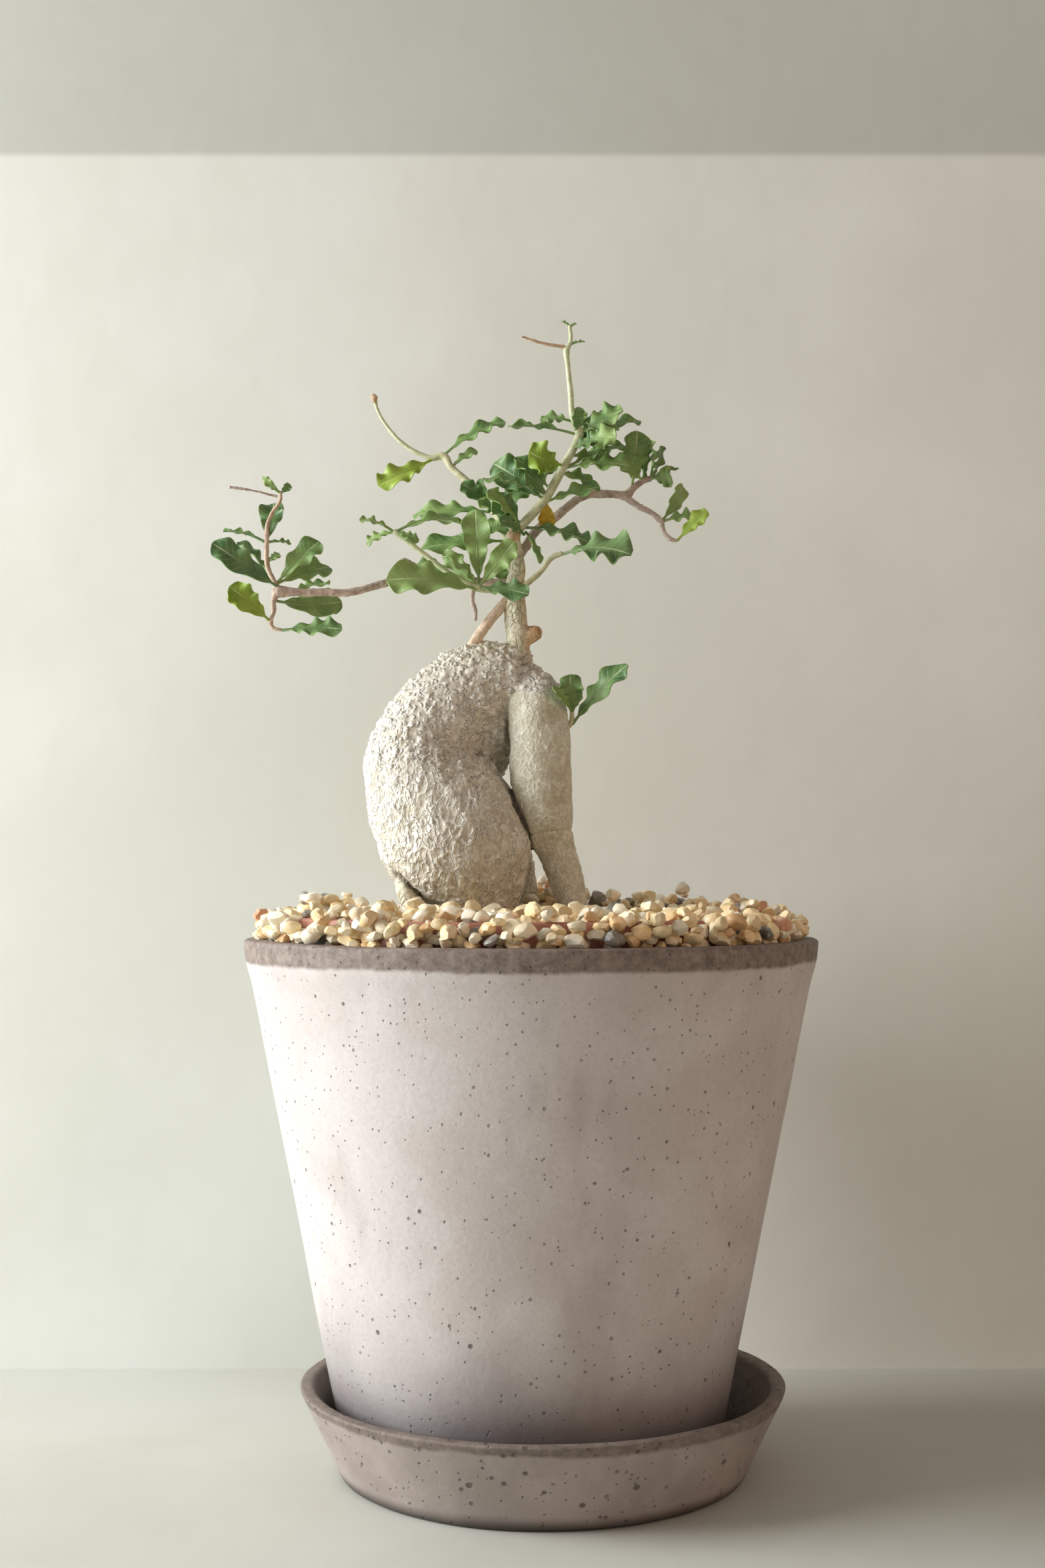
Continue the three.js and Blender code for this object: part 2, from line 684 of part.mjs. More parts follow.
function leafBase(limbPoints, index, tip) {
  const at = limbPoints[index];
  const here = new THREE.Vector3(at[0], at[1], at[2]);
  const before = new THREE.Vector3(...limbPoints[Math.max(0, index - 1)]);
  const after = new THREE.Vector3(...limbPoints[Math.min(limbPoints.length - 1, index + 1)]);
  const along = after.sub(before).normalize();
  const away = tip.clone().sub(here).normalize();
  if (index < limbPoints.length - 1) away.addScaledVector(along, -away.dot(along)).normalize();
  const clear = at[3] + leafBody.stalkWidth / 2 + fitGap;
  return here.addScaledVector(away, clear);
}

// ---- assembly ----
const pottedFockea = new THREE.Group();
const plant = new THREE.Group();
plant.position.set(outerPot.shift, 0, potRimZ);
pottedFockea.add(plant);

function place(parent, name, geometry, material, x = 0, z = 0) {
  const mesh = new THREE.Mesh(geometry, material);
  mesh.name = name;
  mesh.position.set(x, 0, z);
  parent.add(mesh);
}

const caudexSolid = joined(caudexLimbs, { sides: 14, perSpan: 1 });
const caudexRoom = joined(caudexLimbs, { sides: 14, perSpan: 1, grow: fitGap });

function makeSoil() {
  const depth = soilTopZ - soilFootZ;
  const foot = soilFootZ - linerFootZ;
  const block = turned(
    [
      [0, 0],
      [linerInside(foot) - 2 * fitGap, 0, 1],
      [linerInside(foot + depth) - 2 * fitGap, depth],
      [0, depth],
    ],
    false,
  );
  const bored = toSolid(block).subtract(caudexRoom.translate([0, 0, potRimZ - soilFootZ]));
  return toGeometry(largestPart(bored));
}

// Top dressing inside the liner, round the plant's feet.
function makeGravelBed() {
  const foot = soilTopZ + fitGap - potRimZ;
  const top = foot + gravel.bedDepth;
  const reach = linerBore - (linerRimZ - potRimZ - foot) * linerFlare - 2 * fitGap;
  const outline = [[0.01, foot, 0], [reach, foot, 0], [reach, top, 1]];
  for (let step = 5; step > 0; step -= 1) outline.push([(reach * step) / 6, top + 1, 1]);
  outline.push([0.01, top + 1, 1]);
  const bed = stoneBed(outline, 32, true, unevenness);
  return toGeometry(largestPart(bed.subtract(caudexRoom)));
}

// Stones between the liner and the pot, lying out over the pot's rim.
function makeGravelRing() {
  const inner = linerRim + fitGap;
  const gapOuter = potInside(outerPot.height) - 2 * fitGap;
  const gapFoot = potInside(outerPot.height - gravel.ringDrop) - 2 * fitGap;
  const reach = potInside(outerPot.height) + gravel.ringOverlap;
  const outline = [
    [inner, -gravel.ringDrop, 0],
    [gapFoot, -gravel.ringDrop, 0],
    [gapOuter, fitGap, 0],
    [reach, fitGap, 0],
    [reach - 1, gravel.ringHeight, 0.6],
    [inner + 1, gravel.ringHeight + 1.2, 0.6],
    [inner, gravel.ringHeight, 0.6],
  ];
  return toGeometry(stoneBed(outline, turnSides, true, unevenness));
}

place(pottedFockea, "saucer", makeSaucer(), finishes.clay);
place(pottedFockea, "outer_pot", makeOuterPot(), finishes.clay, outerPot.shift, potFootZ);
place(pottedFockea, "liner_pot", makeLiner(), finishes.plastic, outerPot.shift, linerFootZ);
place(pottedFockea, "soil", makeSoil(), finishes.soil, outerPot.shift, soilFootZ);
place(plant, "gravel_bed", makeGravelBed(), finishes.gravel);
place(plant, "gravel_ring", makeGravelRing(), finishes.gravel);
place(plant, "caudex", toGeometry(caudexSolid), finishes.bark);

// Each stem is cut clear of the caudex and of the stems placed before it.
let taken = caudexRoom;
for (const [name, limbs] of Object.entries(stems)) {
  const solid = largestPart(joined(limbs, { sides: 7, perSpan: 1 }).subtract(taken));
  taken = taken.add(joined(limbs, { sides: 7, perSpan: 1, grow: fitGap }));
  place(plant, name, toGeometry(solid), finishes.stem);
}

leaves.forEach(([name, stem, limbIndex, pointIndex, reach, width, look, arch, sweep], index) => {
  const tip = new THREE.Vector3(...reach);
  const base = leafBase(stems[stem][limbIndex], pointIndex, tip);
  const face = new THREE.Vector3(...look);
  const geometry = leafSolid(base, tip, width, face, arch, sweep, index * 1.7);
  let material = finishes.leaf;
  if (youngLeaves.includes(name)) material = finishes.youngLeaf;
  if (name === "spent_leaf") material = finishes.spentLeaf;
  place(plant, name, geometry, material);
});

export default pottedFockea;
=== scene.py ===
# A potted fockea in its saucer: the finished surfaces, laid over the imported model.
import math
import random

import bmesh
import bpy
from mathutils import Matrix, Vector, kdtree, noise


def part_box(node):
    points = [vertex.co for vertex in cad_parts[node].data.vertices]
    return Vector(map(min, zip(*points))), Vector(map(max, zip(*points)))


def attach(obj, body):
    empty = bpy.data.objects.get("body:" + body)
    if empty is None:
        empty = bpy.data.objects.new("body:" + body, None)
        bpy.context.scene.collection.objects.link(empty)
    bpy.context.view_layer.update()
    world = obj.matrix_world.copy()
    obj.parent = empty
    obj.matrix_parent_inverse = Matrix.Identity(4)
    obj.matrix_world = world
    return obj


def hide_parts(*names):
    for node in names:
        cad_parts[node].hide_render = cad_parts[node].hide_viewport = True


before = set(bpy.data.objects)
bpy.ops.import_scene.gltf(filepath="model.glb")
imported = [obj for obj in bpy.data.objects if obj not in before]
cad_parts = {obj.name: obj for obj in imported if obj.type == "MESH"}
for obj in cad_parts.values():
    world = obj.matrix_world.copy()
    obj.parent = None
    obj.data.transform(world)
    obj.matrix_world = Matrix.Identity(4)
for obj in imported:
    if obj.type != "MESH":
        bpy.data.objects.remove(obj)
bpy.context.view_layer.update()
print("packed model loaded:", len(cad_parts), "nodes")

mm = 0.001
potLow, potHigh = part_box("outer_pot")
plantOrigin = Vector(((potLow.x + potHigh.x) / 2, 0, potHigh.z))  # pot axis at rim height


# ---- small helpers ----
def deselectAll():
    bpy.ops.object.select_all(action="DESELECT")


def activate(piece):
    deselectAll()
    piece.select_set(True)
    bpy.context.view_layer.objects.active = piece


def applyModifier(piece, kind, **settings):
    activate(piece)
    bpy.ops.object.modifier_add(type=kind)
    modifier = piece.modifiers[-1]
    for key, value in settings.items():
        setattr(modifier, key, value)
    bpy.ops.object.modifier_apply(modifier=modifier.name)


def joinPieces(pieces, name):
    deselectAll()
    for piece in pieces:
        piece.select_set(True)
    bpy.context.view_layer.objects.active = pieces[0]
    if len(pieces) > 1:
        bpy.ops.object.join()
    whole = bpy.context.view_layer.objects.active
    whole.name = whole.data.name = name
    return whole


def smoothShade(piece, degrees=180):
    activate(piece)
    bpy.ops.object.shade_smooth_by_angle(angle=math.radians(degrees))


def finishPiece(piece, slotName, nodes, *materials):
    piece.data.materials.clear()
    for material in materials:
        piece.data.materials.append(material)
    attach(piece, "root")
    if nodes:
        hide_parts(*nodes)


def writeValues(piece, name, values):
    layer = piece.data.attributes.new(name, "FLOAT", "POINT")
    layer.data.foreach_set("value", values)


def smoothStep(low, high, value):
    share = min(1, max(0, (value - low) / (high - low)))
    return share * share * (3 - 2 * share)


# ---- material helpers ----
def paint(red, green, blue):
    # everyday 0-255 colour to the linear one that the shaders take
    def linear(value):
        value /= 255
        return value / 12.92 if value <= 0.04045 else ((value + 0.055) / 1.055) ** 2.4

    return (linear(red), linear(green), linear(blue), 1)


def addNode(tree, kind, inputs=None, **settings):
    node = tree.nodes.new("ShaderNode" + kind)
    for key, value in settings.items():
        setattr(node, key, value)
    for key, value in (inputs or {}).items():
        if isinstance(value, bpy.types.NodeSocket):
            tree.links.new(value, node.inputs[key])
        else:
            node.inputs[key].default_value = value
    return node


def newMaterial(name, **sockets):
    material = bpy.data.materials.new(name)
    material.use_nodes = True
    tree = material.node_tree
    shader = tree.nodes["Principled BSDF"]
    for key, value in sockets.items():
        shader.inputs[key.replace("_", " ")].default_value = value
    return material, tree, shader


def noiseOf(tree, place, size, detail=2, roughness=0.5, stretch=None):
    # size is in millimetres
    if stretch:
        place = addNode(tree, "Mapping", {"Vector": place, "Scale": stretch}).outputs[0]
    inputs = {"Vector": place, "Scale": 1000 / size, "Detail": detail, "Roughness": roughness}
    return addNode(tree, "TexNoise", inputs).outputs["Fac"]


def calc(tree, operation, first, second=0.0, third=0.0):
    return addNode(tree, "Math", {0: first, 1: second, 2: third}, operation=operation).outputs[0]


def span(tree, value, low, high, toLow=0.0, toHigh=1.0):
    inputs = {"Value": value, "From Min": low, "From Max": high, "To Min": toLow, "To Max": toHigh}
    return addNode(tree, "MapRange", inputs, interpolation_type="SMOOTHSTEP").outputs[0]


def blend(tree, share, first, second, kind="MIX"):
    inputs = {0: share, 6: first, 7: second}
    return addNode(tree, "Mix", inputs, data_type="RGBA", blend_type=kind).outputs[2]


def ramp(tree, value, stops, steps=False):
    node = addNode(tree, "ValToRGB", {"Fac": value})
    if steps:
        node.color_ramp.interpolation = "CONSTANT"
    for index, (position, colour) in enumerate(stops):
        if index > 1:
            node.color_ramp.elements.new(position)
        node.color_ramp.elements[index].position = position
        node.color_ramp.elements[index].color = colour
    return node.outputs["Color"]


def pitsOf(tree, place, cell, largest, share):
    # round pits of uneven size in some of the cells: 1 in a pit, 0 outside
    cells = addNode(tree, "TexVoronoi", {"Vector": place, "Scale": 1000 / cell})
    chance = addNode(tree, "SeparateColor", {0: cells.outputs["Color"]})
    radius = span(tree, chance.outputs[0], 1 - share, 1, 0, largest / cell)
    edge = calc(tree, "SUBTRACT", radius, cells.outputs["Distance"])
    return span(tree, edge, 0, 0.25 / cell)


def bumpOn(tree, shader, layers):
    # layers are (height 0-1, depth in millimetres)
    normal = None
    for height, depth in layers:
        inputs = {"Height": height, "Distance": depth * mm, "Strength": 1}
        if normal:
            inputs["Normal"] = normal
        normal = addNode(tree, "Bump", inputs).outputs[0]
    tree.links.new(normal, shader.inputs["Normal"])


# ---- camera and light ----
cameraView = {"place": (-5.66, -561.6, 168.3), "lens": 46, "rise": 0.0517}
bpy.ops.object.camera_add(location=[value * mm for value in cameraView["place"]])
camera = bpy.context.object
camera.rotation_euler = (math.radians(90), 0, 0)
camera.data.lens = cameraView["lens"]
camera.data.shift_y = cameraView["rise"]
bpy.context.scene.camera = camera
bpy.context.scene.view_settings.view_transform = "Standard"

lights = {
    "window": {"place": (-0.84, -0.1, 0.4), "aim": (0, 0, 0.14), "size": 0.6, "power": 14.6, "colour": (0.975, 0.99, 1)},
    "room": {"place": (0.9, -0.9, 0.5), "aim": (0, 0, 0.15), "size": 0.9, "power": 2.7, "colour": (1, 0.6, 0.4)},
}
for name, light in lights.items():
    bpy.ops.object.light_add(type="AREA", location=light["place"])
    lamp = bpy.context.object
    lamp.name = name + "_light"
    lamp.data.size = light["size"]
    lamp.data.energy = light["power"]
    lamp.data.color = light["colour"]
    toward = Vector(light["aim"]) - lamp.location
    lamp.rotation_euler = toward.to_track_quat("-Z", "Y").to_euler()

world = bpy.data.worlds.new("studio")
bpy.context.scene.world = world
world.use_nodes = True
world.node_tree.nodes["Background"].inputs["Color"].default_value = (0.95, 0.92, 0.86, 1)
world.node_tree.nodes["Background"].inputs["Strength"].default_value = 0.25

# ---- table and wall behind ----
backdrop = {"width": 5, "front": -3.5, "wallAt": 0.109, "ledge": 0.4065, "top": 2.4}


def paleWall(name, colour, shadeColour, ledge=None):
    material, tree, shader = newMaterial(name, Roughness=0.85)
    place = addNode(tree, "TexCoord").outputs["Object"]
    cloud = noiseOf(tree, place, 160, 4, 0.55)
    colourNow = blend(tree, span(tree, cloud, 0.35, 0.7), paint(*shadeColour), paint(*colour))
    if ledge:
        height = addNode(tree, "SeparateXYZ", {0: place}).outputs["Z"]
        above = span(tree, height, ledge - 0.002, ledge + 0.001, 0, 0.55)
        colourNow = blend(tree, above, colourNow, paint(165, 168, 160))
    tree.links.new(colourNow, shader.inputs["Base Color"])
    bumpOn(tree, shader, [(noiseOf(tree, place, 12, 3), 0.15)])
    return material, tree, shader


deselectAll()
bpy.ops.mesh.primitive_plane_add(size=1, location=(0, 0, 0))
table = bpy.context.object
table.name = "table"
depth = backdrop["wallAt"] - backdrop["front"]
middle = (backdrop["wallAt"] + backdrop["front"]) / 2
table.data.transform(Matrix.Diagonal((backdrop["width"], depth, 1, 1)))
table.data.transform(Matrix.Translation((0, middle, -0.0002)))
table.data.materials.append(paleWall("table_top", (200, 201, 193), (190, 190, 180))[0])

deselectAll()
bpy.ops.mesh.primitive_plane_add(size=1, location=(0, 0, 0))
wall = bpy.context.object
wall.name = "wall"
wall.data.transform(Matrix.Diagonal((backdrop["width"], backdrop["top"], 1, 1)))
wall.data.transform(Matrix.Rotation(math.radians(90), 4, "X"))
wall.data.transform(Matrix.Translation((0, backdrop["wallAt"], backdrop["top"] / 2 - 0.0002)))
wallPaint, wallTree, wallShader = paleWall("wall_plaster", (233, 235, 229), (222, 224, 215), backdrop["ledge"])
wall.data.materials.append(wallPaint)
# the wall only stands there for the front: from behind it is clear
clear = addNode(wallTree, "BsdfTransparent").outputs[0]
behind = addNode(wallTree, "NewGeometry").outputs["Backfacing"]
oneSided = addNode(wallTree, "MixShader", {0: behind, 1: wallShader.outputs[0], 2: clear})
wallTree.links.new(oneSided.outputs[0], wallTree.nodes["Material Output"].inputs["Surface"])
print("camera, lights and backdrop ready")


# ---- thrown pieces: saucer, pot, liner ----
def roundedOutline(corners, longest, closed):
    # corners are (radius, height, rounding) in millimetres
    points = []
    for index, (radius, height, rounding) in enumerate(corners):
        here = Vector((radius, height))
        if rounding == 0:
            points.append(here)
            continue
        before = Vector(corners[index - 1][:2])
        after = Vector(corners[(index + 1) % len(corners)][:2])
        start = here + (before - here).normalized() * rounding
        end = here + (after - here).normalized() * rounding
        for step in range(6):
            share = step / 5
            points.append(start.lerp(here, share).lerp(here.lerp(end, share), share))
    fine = []
    following = points[1:] + points[:1] if closed else points[1:]
    for point, nextPoint in zip(points, following):
        steps = max(1, math.ceil((nextPoint - point).length / longest))
        fine += [point.lerp(nextPoint, step / steps) for step in range(steps)]
    return fine + [points[0] if closed else points[-1]]


def turnPiece(name, corners, centreX, closed, longest=3.4, sides=160):
    # start from a ring and pull the wall round the outline, ring by ring
    outline = roundedOutline(corners, longest, closed)
    radius, height = outline[0]
    deselectAll()
    start = (centreX, 0, height * mm)
    bpy.ops.mesh.primitive_circle_add(vertices=sides, radius=radius * mm, location=start)
    piece = bpy.context.object
    piece.name = piece.data.name = name
    bpy.ops.object.transform_apply(location=True)
    bpy.ops.object.mode_set(mode="EDIT")
    for point in outline[1:]:
        move = {"value": (0, 0, (point.y - height) * mm)}
        bpy.ops.mesh.extrude_region_move(TRANSFORM_OT_translate=move)
        wider = point.x / radius
        centre = (centreX, 0, point.y * mm)
        bpy.ops.transform.resize(value=(wider, wider, 1), center_override=centre)
        radius, height = point
    bpy.ops.mesh.select_all(action="SELECT")
    bpy.ops.mesh.remove_doubles(threshold=0.00003)
    if not closed:
        bpy.ops.mesh.fill_holes(sides=0)
    bpy.ops.mesh.select_all(action="SELECT")
    bpy.ops.mesh.normals_make_consistent(inside=False)
    bpy.ops.object.mode_set(mode="OBJECT")
    return piece


def unevenClay(piece, size, strength):
    clouds = bpy.data.textures.new(piece.name + "_unevenness", "CLOUDS")
    clouds.noise_scale = size * mm
    applyModifier(piece, "DISPLACE", texture=clouds, strength=strength * mm, mid_level=0.5)


saucerForm = {"flare": 11.7, "wall": 4.2, "floor": 4.8, "edge": 1.3, "footEdge": 1.2}
potForm = {
    "foot": 52.1, "wall": 6.5, "floor": 7, "footRounding": 4, "band": 6, "bandEase": 6,
    "bandStep": 1.8, "bandLean": 0.5, "edge": 1.3, "drain": 8,
}
linerForm = {"lip": 10, "lipThick": 3, "wall": 2, "floor": 2.5, "taper": 22, "drain": 6}


def fireClay(name, look):
    # matt mauve-grey clay with cloudy patches, pits, a damp band near the top and a foot darkened partly by damp and
    # dirt, partly by painted shade
    material, tree, shader = newMaterial(name)
    place = addNode(tree, "TexCoord").outputs["Object"]
    axes = addNode(tree, "SeparateXYZ", {0: place})
    height = axes.outputs["Z"]
    cloud = noiseOf(tree, place, look["cloudSize"], 4, 0.6)
    smear = noiseOf(tree, place, 22, 3, 0.6, (1, 1, 0.35))
    grain = noiseOf(tree, place, 1.3, 3, 0.7)
    ragged = noiseOf(tree, place, 5, 4, 0.65)
    long = noiseOf(tree, place, 45, 2, 0.5)
    body = blend(tree, span(tree, cloud, 0.38, 0.62), paint(*look["patch"]), paint(*look["clay"]))
    body = blend(tree, span(tree, smear, 0.52, 0.72, 0, 0.4), body, paint(*look["smear"]))
    body = blend(tree, span(tree, grain, 0.3, 0.72, 0, 0.16), body, paint(150, 138, 132))
    # darker towards the foot, partly damp and dirt, partly painted shade; its edge wanders round the pot
    drift = calc(tree, "MULTIPLY_ADD", long, look["footDrift"] * mm, height)
    foot = span(tree, drift, look["footFrom"] * mm, look["footTo"] * mm, look["footShare"], 0)
    body = blend(tree, foot, body, paint(*look["foot"]))
    # damp band: its lower edge is ragged
    wander = calc(tree, "MULTIPLY_ADD", ragged, look["bandRagged"] * mm, height)
    wander = calc(tree, "MULTIPLY_ADD", long, look["bandDrift"] * mm, wander)
    band = span(tree, wander, (look["bandAt"] - 0.7) * mm, (look["bandAt"] + 0.7) * mm)
    mottle = noiseOf(tree, place, 2.6, 4, 0.75)
    damp = ramp(tree, mottle, [(0.32, paint(*look["bandDark"])), (0.66, paint(*look["band"]))])
    if look.get("insideSlope"):
        # the inner face is dark all the way down
        flat = addNode(tree, "CombineXYZ", {"X": axes.outputs["X"], "Y": axes.outputs["Y"]})
        reach = addNode(tree, "VectorMath", {0: flat.outputs[0]}, operation="LENGTH").outputs["Value"]
        inward = calc(tree, "MULTIPLY_ADD", height, -look["insideSlope"], reach)
        inside = span(tree, inward, look["insideAt"] - mm, look["insideAt"], 0.85, 0)
        band = calc(tree, "MAXIMUM", band, inside)
    body = blend(tree, calc(tree, "MULTIPLY", band, look["bandShare"]), body, damp)
    # pits of three sizes, thicker on the ground in some places
    coarse = pitsOf(tree, place, look["pitCell"] * 1.8, look["pitSize"] * 0.9, look["pitShare"])
    medium = pitsOf(tree, place, look["pitCell"], look["pitSize"] * 0.72, look["pitShare"])
    medium = calc(tree, "MULTIPLY", medium, span(tree, cloud, 0.4, 0.55, 1, 0.75))
    fine = pitsOf(tree, place, 1.8, 0.42, 0.85)
    pits = calc(tree, "MAXIMUM", coarse, calc(tree, "MULTIPLY", medium, 0.85))
    pits = calc(tree, "MAXIMUM", pits, calc(tree, "MULTIPLY", fine, 0.75))
    body = blend(tree, calc(tree, "MULTIPLY", pits, 0.8), body, paint(86, 74, 66))
    tree.links.new(body, shader.inputs["Base Color"])
    tree.links.new(span(tree, cloud, 0.3, 0.7, 0.62, 0.78), shader.inputs["Roughness"])
    level = calc(tree, "SUBTRACT", 1.0, pits)
    bumpOn(tree, shader, [(level, 0.4), (grain, 0.09), (ragged, 0.12)])
    return material


# saucer
low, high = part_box("saucer")
rim = (high.x - low.x) / 2 / mm
rise = high.z / mm
base = rim - saucerForm["flare"]
innerBase = base + saucerForm["flare"] * saucerForm["floor"] / rise - saucerForm["wall"]
saucer = turnPiece("saucer_ware", [
    (1.5, 0.6, 0), (base - 7, 0.6, 0.4), (base - 5.5, 0, 0.4), (base, 0, saucerForm["footEdge"]),
    (rim, rise, saucerForm["edge"]), (rim - saucerForm["wall"], rise, saucerForm["edge"]),
    (innerBase, saucerForm["floor"], 3), (1.5, saucerForm["floor"], 0),
], 0, closed=False, longest=2.6)
unevenClay(saucer, 22, 0.45)
smoothShade(saucer, 50)
saucerClay = fireClay("saucer_clay", {
    "clay": (172, 160, 154), "patch": (155, 143, 137), "smear": (136, 126, 118), "cloudSize": 26,
    "foot": (62, 54, 49), "footDrift": 3, "footFrom": 1.5, "footTo": 6, "footShare": 0.95,
    "band": (132, 118, 108), "bandDark": (88, 76, 68), "bandAt": 24.6, "bandRagged": 2.2,
    "bandDrift": 3.4, "bandShare": 0.85, "pitCell": 2.6, "pitSize": 1.05, "pitShare": 0.7,
    "insideSlope": saucerForm["flare"] / rise, "insideAt": (base - 1.2) * mm,
})
finishPiece(saucer, "pot_clay", ["saucer"], saucerClay)

# pot
rim = (potHigh.x - potLow.x) / 2 / mm
foot = potLow.z / mm
top = potHigh.z / mm
bandRadius = rim - potForm["bandLean"]
wallTop = (bandRadius - potForm["bandStep"], top - potForm["band"] - potForm["bandEase"])
flare = (wallTop[0] - potForm["foot"]) / (wallTop[1] - foot)
rimInside = rim - potForm["wall"]
floorInside = rimInside - (top - foot - potForm["floor"]) * flare
pot = turnPiece("pot_ware", [
    (potForm["drain"], foot, 0.4), (potForm["foot"], foot, potForm["footRounding"]),
    (*wallTop, 2.5), (bandRadius, top - potForm["band"], 2.2),
    (rim, top, potForm["edge"]), (rimInside, top, potForm["edge"]),
    (floorInside, foot + potForm["floor"], 3), (potForm["drain"], foot + potForm["floor"], 0.4),
], plantOrigin.x, closed=True, longest=2.8)
unevenClay(pot, 38, 0.5)
smoothShade(pot, 50)
potClay = fireClay("pot_clay", {
    "clay": (211, 204, 202), "patch": (201, 192, 189), "smear": (164, 154, 150), "cloudSize": 30,
    "foot": (74, 68, 70), "footDrift": 30, "footFrom": 20, "footTo": 74, "footShare": 0.96,
    "band": (150, 135, 125), "bandDark": (94, 80, 71), "bandAt": 144, "bandRagged": 1.7,
    "bandDrift": 2.2, "bandShare": 0.95, "pitCell": 3.4, "pitSize": 0.8, "pitShare": 0.7,
})
finishPiece(pot, "pot_clay", ["outer_pot"], potClay)

# nursery liner
low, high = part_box("liner_pot")
linerRim = (high.x - low.x) / 2 / mm
linerFoot = low.z / mm
linerTop = high.z / mm
bore = linerRim - linerForm["lipThick"]
linerBase = linerRim - linerForm["taper"]
lipFoot = linerTop - linerForm["lip"]
lipInside = bore - linerForm["lip"] * 0.16
liner = turnPiece("liner_ware", [
    (linerForm["drain"], linerFoot, 0.3), (linerBase, linerFoot, 1.5),
    (lipInside + linerForm["wall"], lipFoot, 0.5), (linerRim, lipFoot, 0.8),
    (linerRim, linerTop, 0.9), (bore, linerTop, 0.9),
    (linerBase - linerForm["wall"], linerFoot + linerForm["floor"], 1.5),
    (linerForm["drain"], linerFoot + linerForm["floor"], 0.3),
], plantOrigin.x, closed=True, longest=4, sides=128)
unevenClay(liner, 45, 0.6)
smoothShade(liner, 50)
linerPlastic, tree, shader = newMaterial("liner_plastic", Roughness=0.48)
place = addNode(tree, "TexCoord").outputs["Object"]
scuffs = noiseOf(tree, place, 9, 4, 0.7)
colour = ramp(tree, scuffs, [(0.35, paint(150, 96, 78)), (0.68, paint(188, 130, 108))])
dusty = span(tree, noiseOf(tree, place, 2.2, 3, 0.8), 0.55, 0.75, 0, 0.5)
tree.links.new(blend(tree, dusty, colour, paint(196, 160, 138)), shader.inputs["Base Color"])
bumpOn(tree, shader, [(scuffs, 0.08)])
finishPiece(liner, "liner_plastic", ["liner_pot"], linerPlastic)
print("saucer, pot and liner turned")

# ---- soil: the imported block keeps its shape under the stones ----
soilCrumb, tree, shader = newMaterial("soil_crumb", Roughness=0.95)
place = addNode(tree, "TexCoord").outputs["Object"]
crumbs = noiseOf(tree, place, 3, 5, 0.75)
colour = ramp(tree, crumbs, [(0.3, paint(34, 25, 19)), (0.55, paint(66, 50, 38)), (0.75, paint(108, 88, 66))])
tree.links.new(colour, shader.inputs["Base Color"])
bumpOn(tree, shader, [(crumbs, 0.9)])
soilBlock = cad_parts["soil"]
soilBlock.data.materials.clear()
soilBlock.data.materials.append(soilCrumb)

# ---- plant: limbs as points (x, y, z, radius) in millimetres from the pot's axis at its rim ----
caudexLimbs = {
    "belly": [
        (-4, 0, 71, 10), (-10, 0, 71.3, 11.1), (-16.5, 0, 69.3, 12), (-23, 0, 64, 12.9),
        (-28.2, 0, 57.2, 14.2), (-30, 0, 49.7, 16.6), (-28, 0, 41.7, 18.6), (-23.8, 0, 32, 20.5),
        (-20.3, 0, 24.5, 20.8), (-18.2, 0, 18, 19), (-16.6, 0, 12, 14.8), (-16, 0, 6.5, 10.8),
        (-16, 0, -5, 7.5), (-15, 0, -18, 4),
    ],
    "neck": [
        (-10, 2, 68, 9), (-11.4, 4, 60, 9), (-12, 5, 53, 8), (-11, 5.5, 48.5, 5.4),
    ],
    "leg": [
        (-3.6, -1, 69.5, 8), (-0.4, -3, 67, 8.2), (1.4, -4.5, 64, 8.2), (1.9, -5, 60, 8.1),
        (2.3, -5, 52.9, 8.4), (2.6, -4.5, 46.9, 8.5), (3.1, -4, 40.9, 8.4), (3.8, -2.5, 35, 7.9),
        (5, -1, 30.1, 6.7), (6.8, 0, 25.4, 5.6), (8.6, 0, 19.8, 4.9), (10.3, 0, 14.2, 4.6),
        (11.8, 0, 7.7, 4.6), (13, 1, 0, 4.4), (14, 2, -12, 2.6),
    ],
    "backLeg": [
        (-8, 4, 67, 6), (-9.9, 9, 62.9, 5.8), (-12.1, 13, 54.3, 4.9), (-11.7, 15, 44.7, 3.9),
        (-7.9, 17, 33.2, 3.4), (-3.1, 18, 21.7, 3.2), (-1.2, 18, 12.2, 3.2), (-0.9, 18, 6.4, 3.2),
        (0, 17, -8, 2.2),
    ],
    "sideRoot": [
        (-32.8, -5, 22.5, 3), (-35, -8, 18.5, 2.5), (-34.8, -10.2, 14, 2.4), (-33.2, -11, 9.5, 2.9),
        (-31.2, -10.4, 4.5, 3.5), (-28, -8, -4, 3),
    ],
    "rootFlare": [(11, 3, 11, 3.2), (15, 5, 6, 2.8), (17, 6, 0, 2.2), (17, 6, -8, 1.4)],
    "trunk": [
        (-4.6, 0, 76.5, 4.8), (-3.9, 0, 80.4, 3.6), (-3.7, 0, 84, 3.2), (-4.2, 0, 88.1, 3.1),
        (-4.4, 0, 92.7, 3), (-4.6, 0, 98.3, 2.7), (-3.6, 0, 104, 2), (-4.6, 0, 110, 1.7),
        (-5, 0, 113, 1.9),
    ],
    "stub": [(-3, 0, 84, 2), (-0.6, -0.5, 84.5, 2.2), (1, -0.5, 85.2, 2.3), (2, -0.5, 85.8, 1.9)],
}


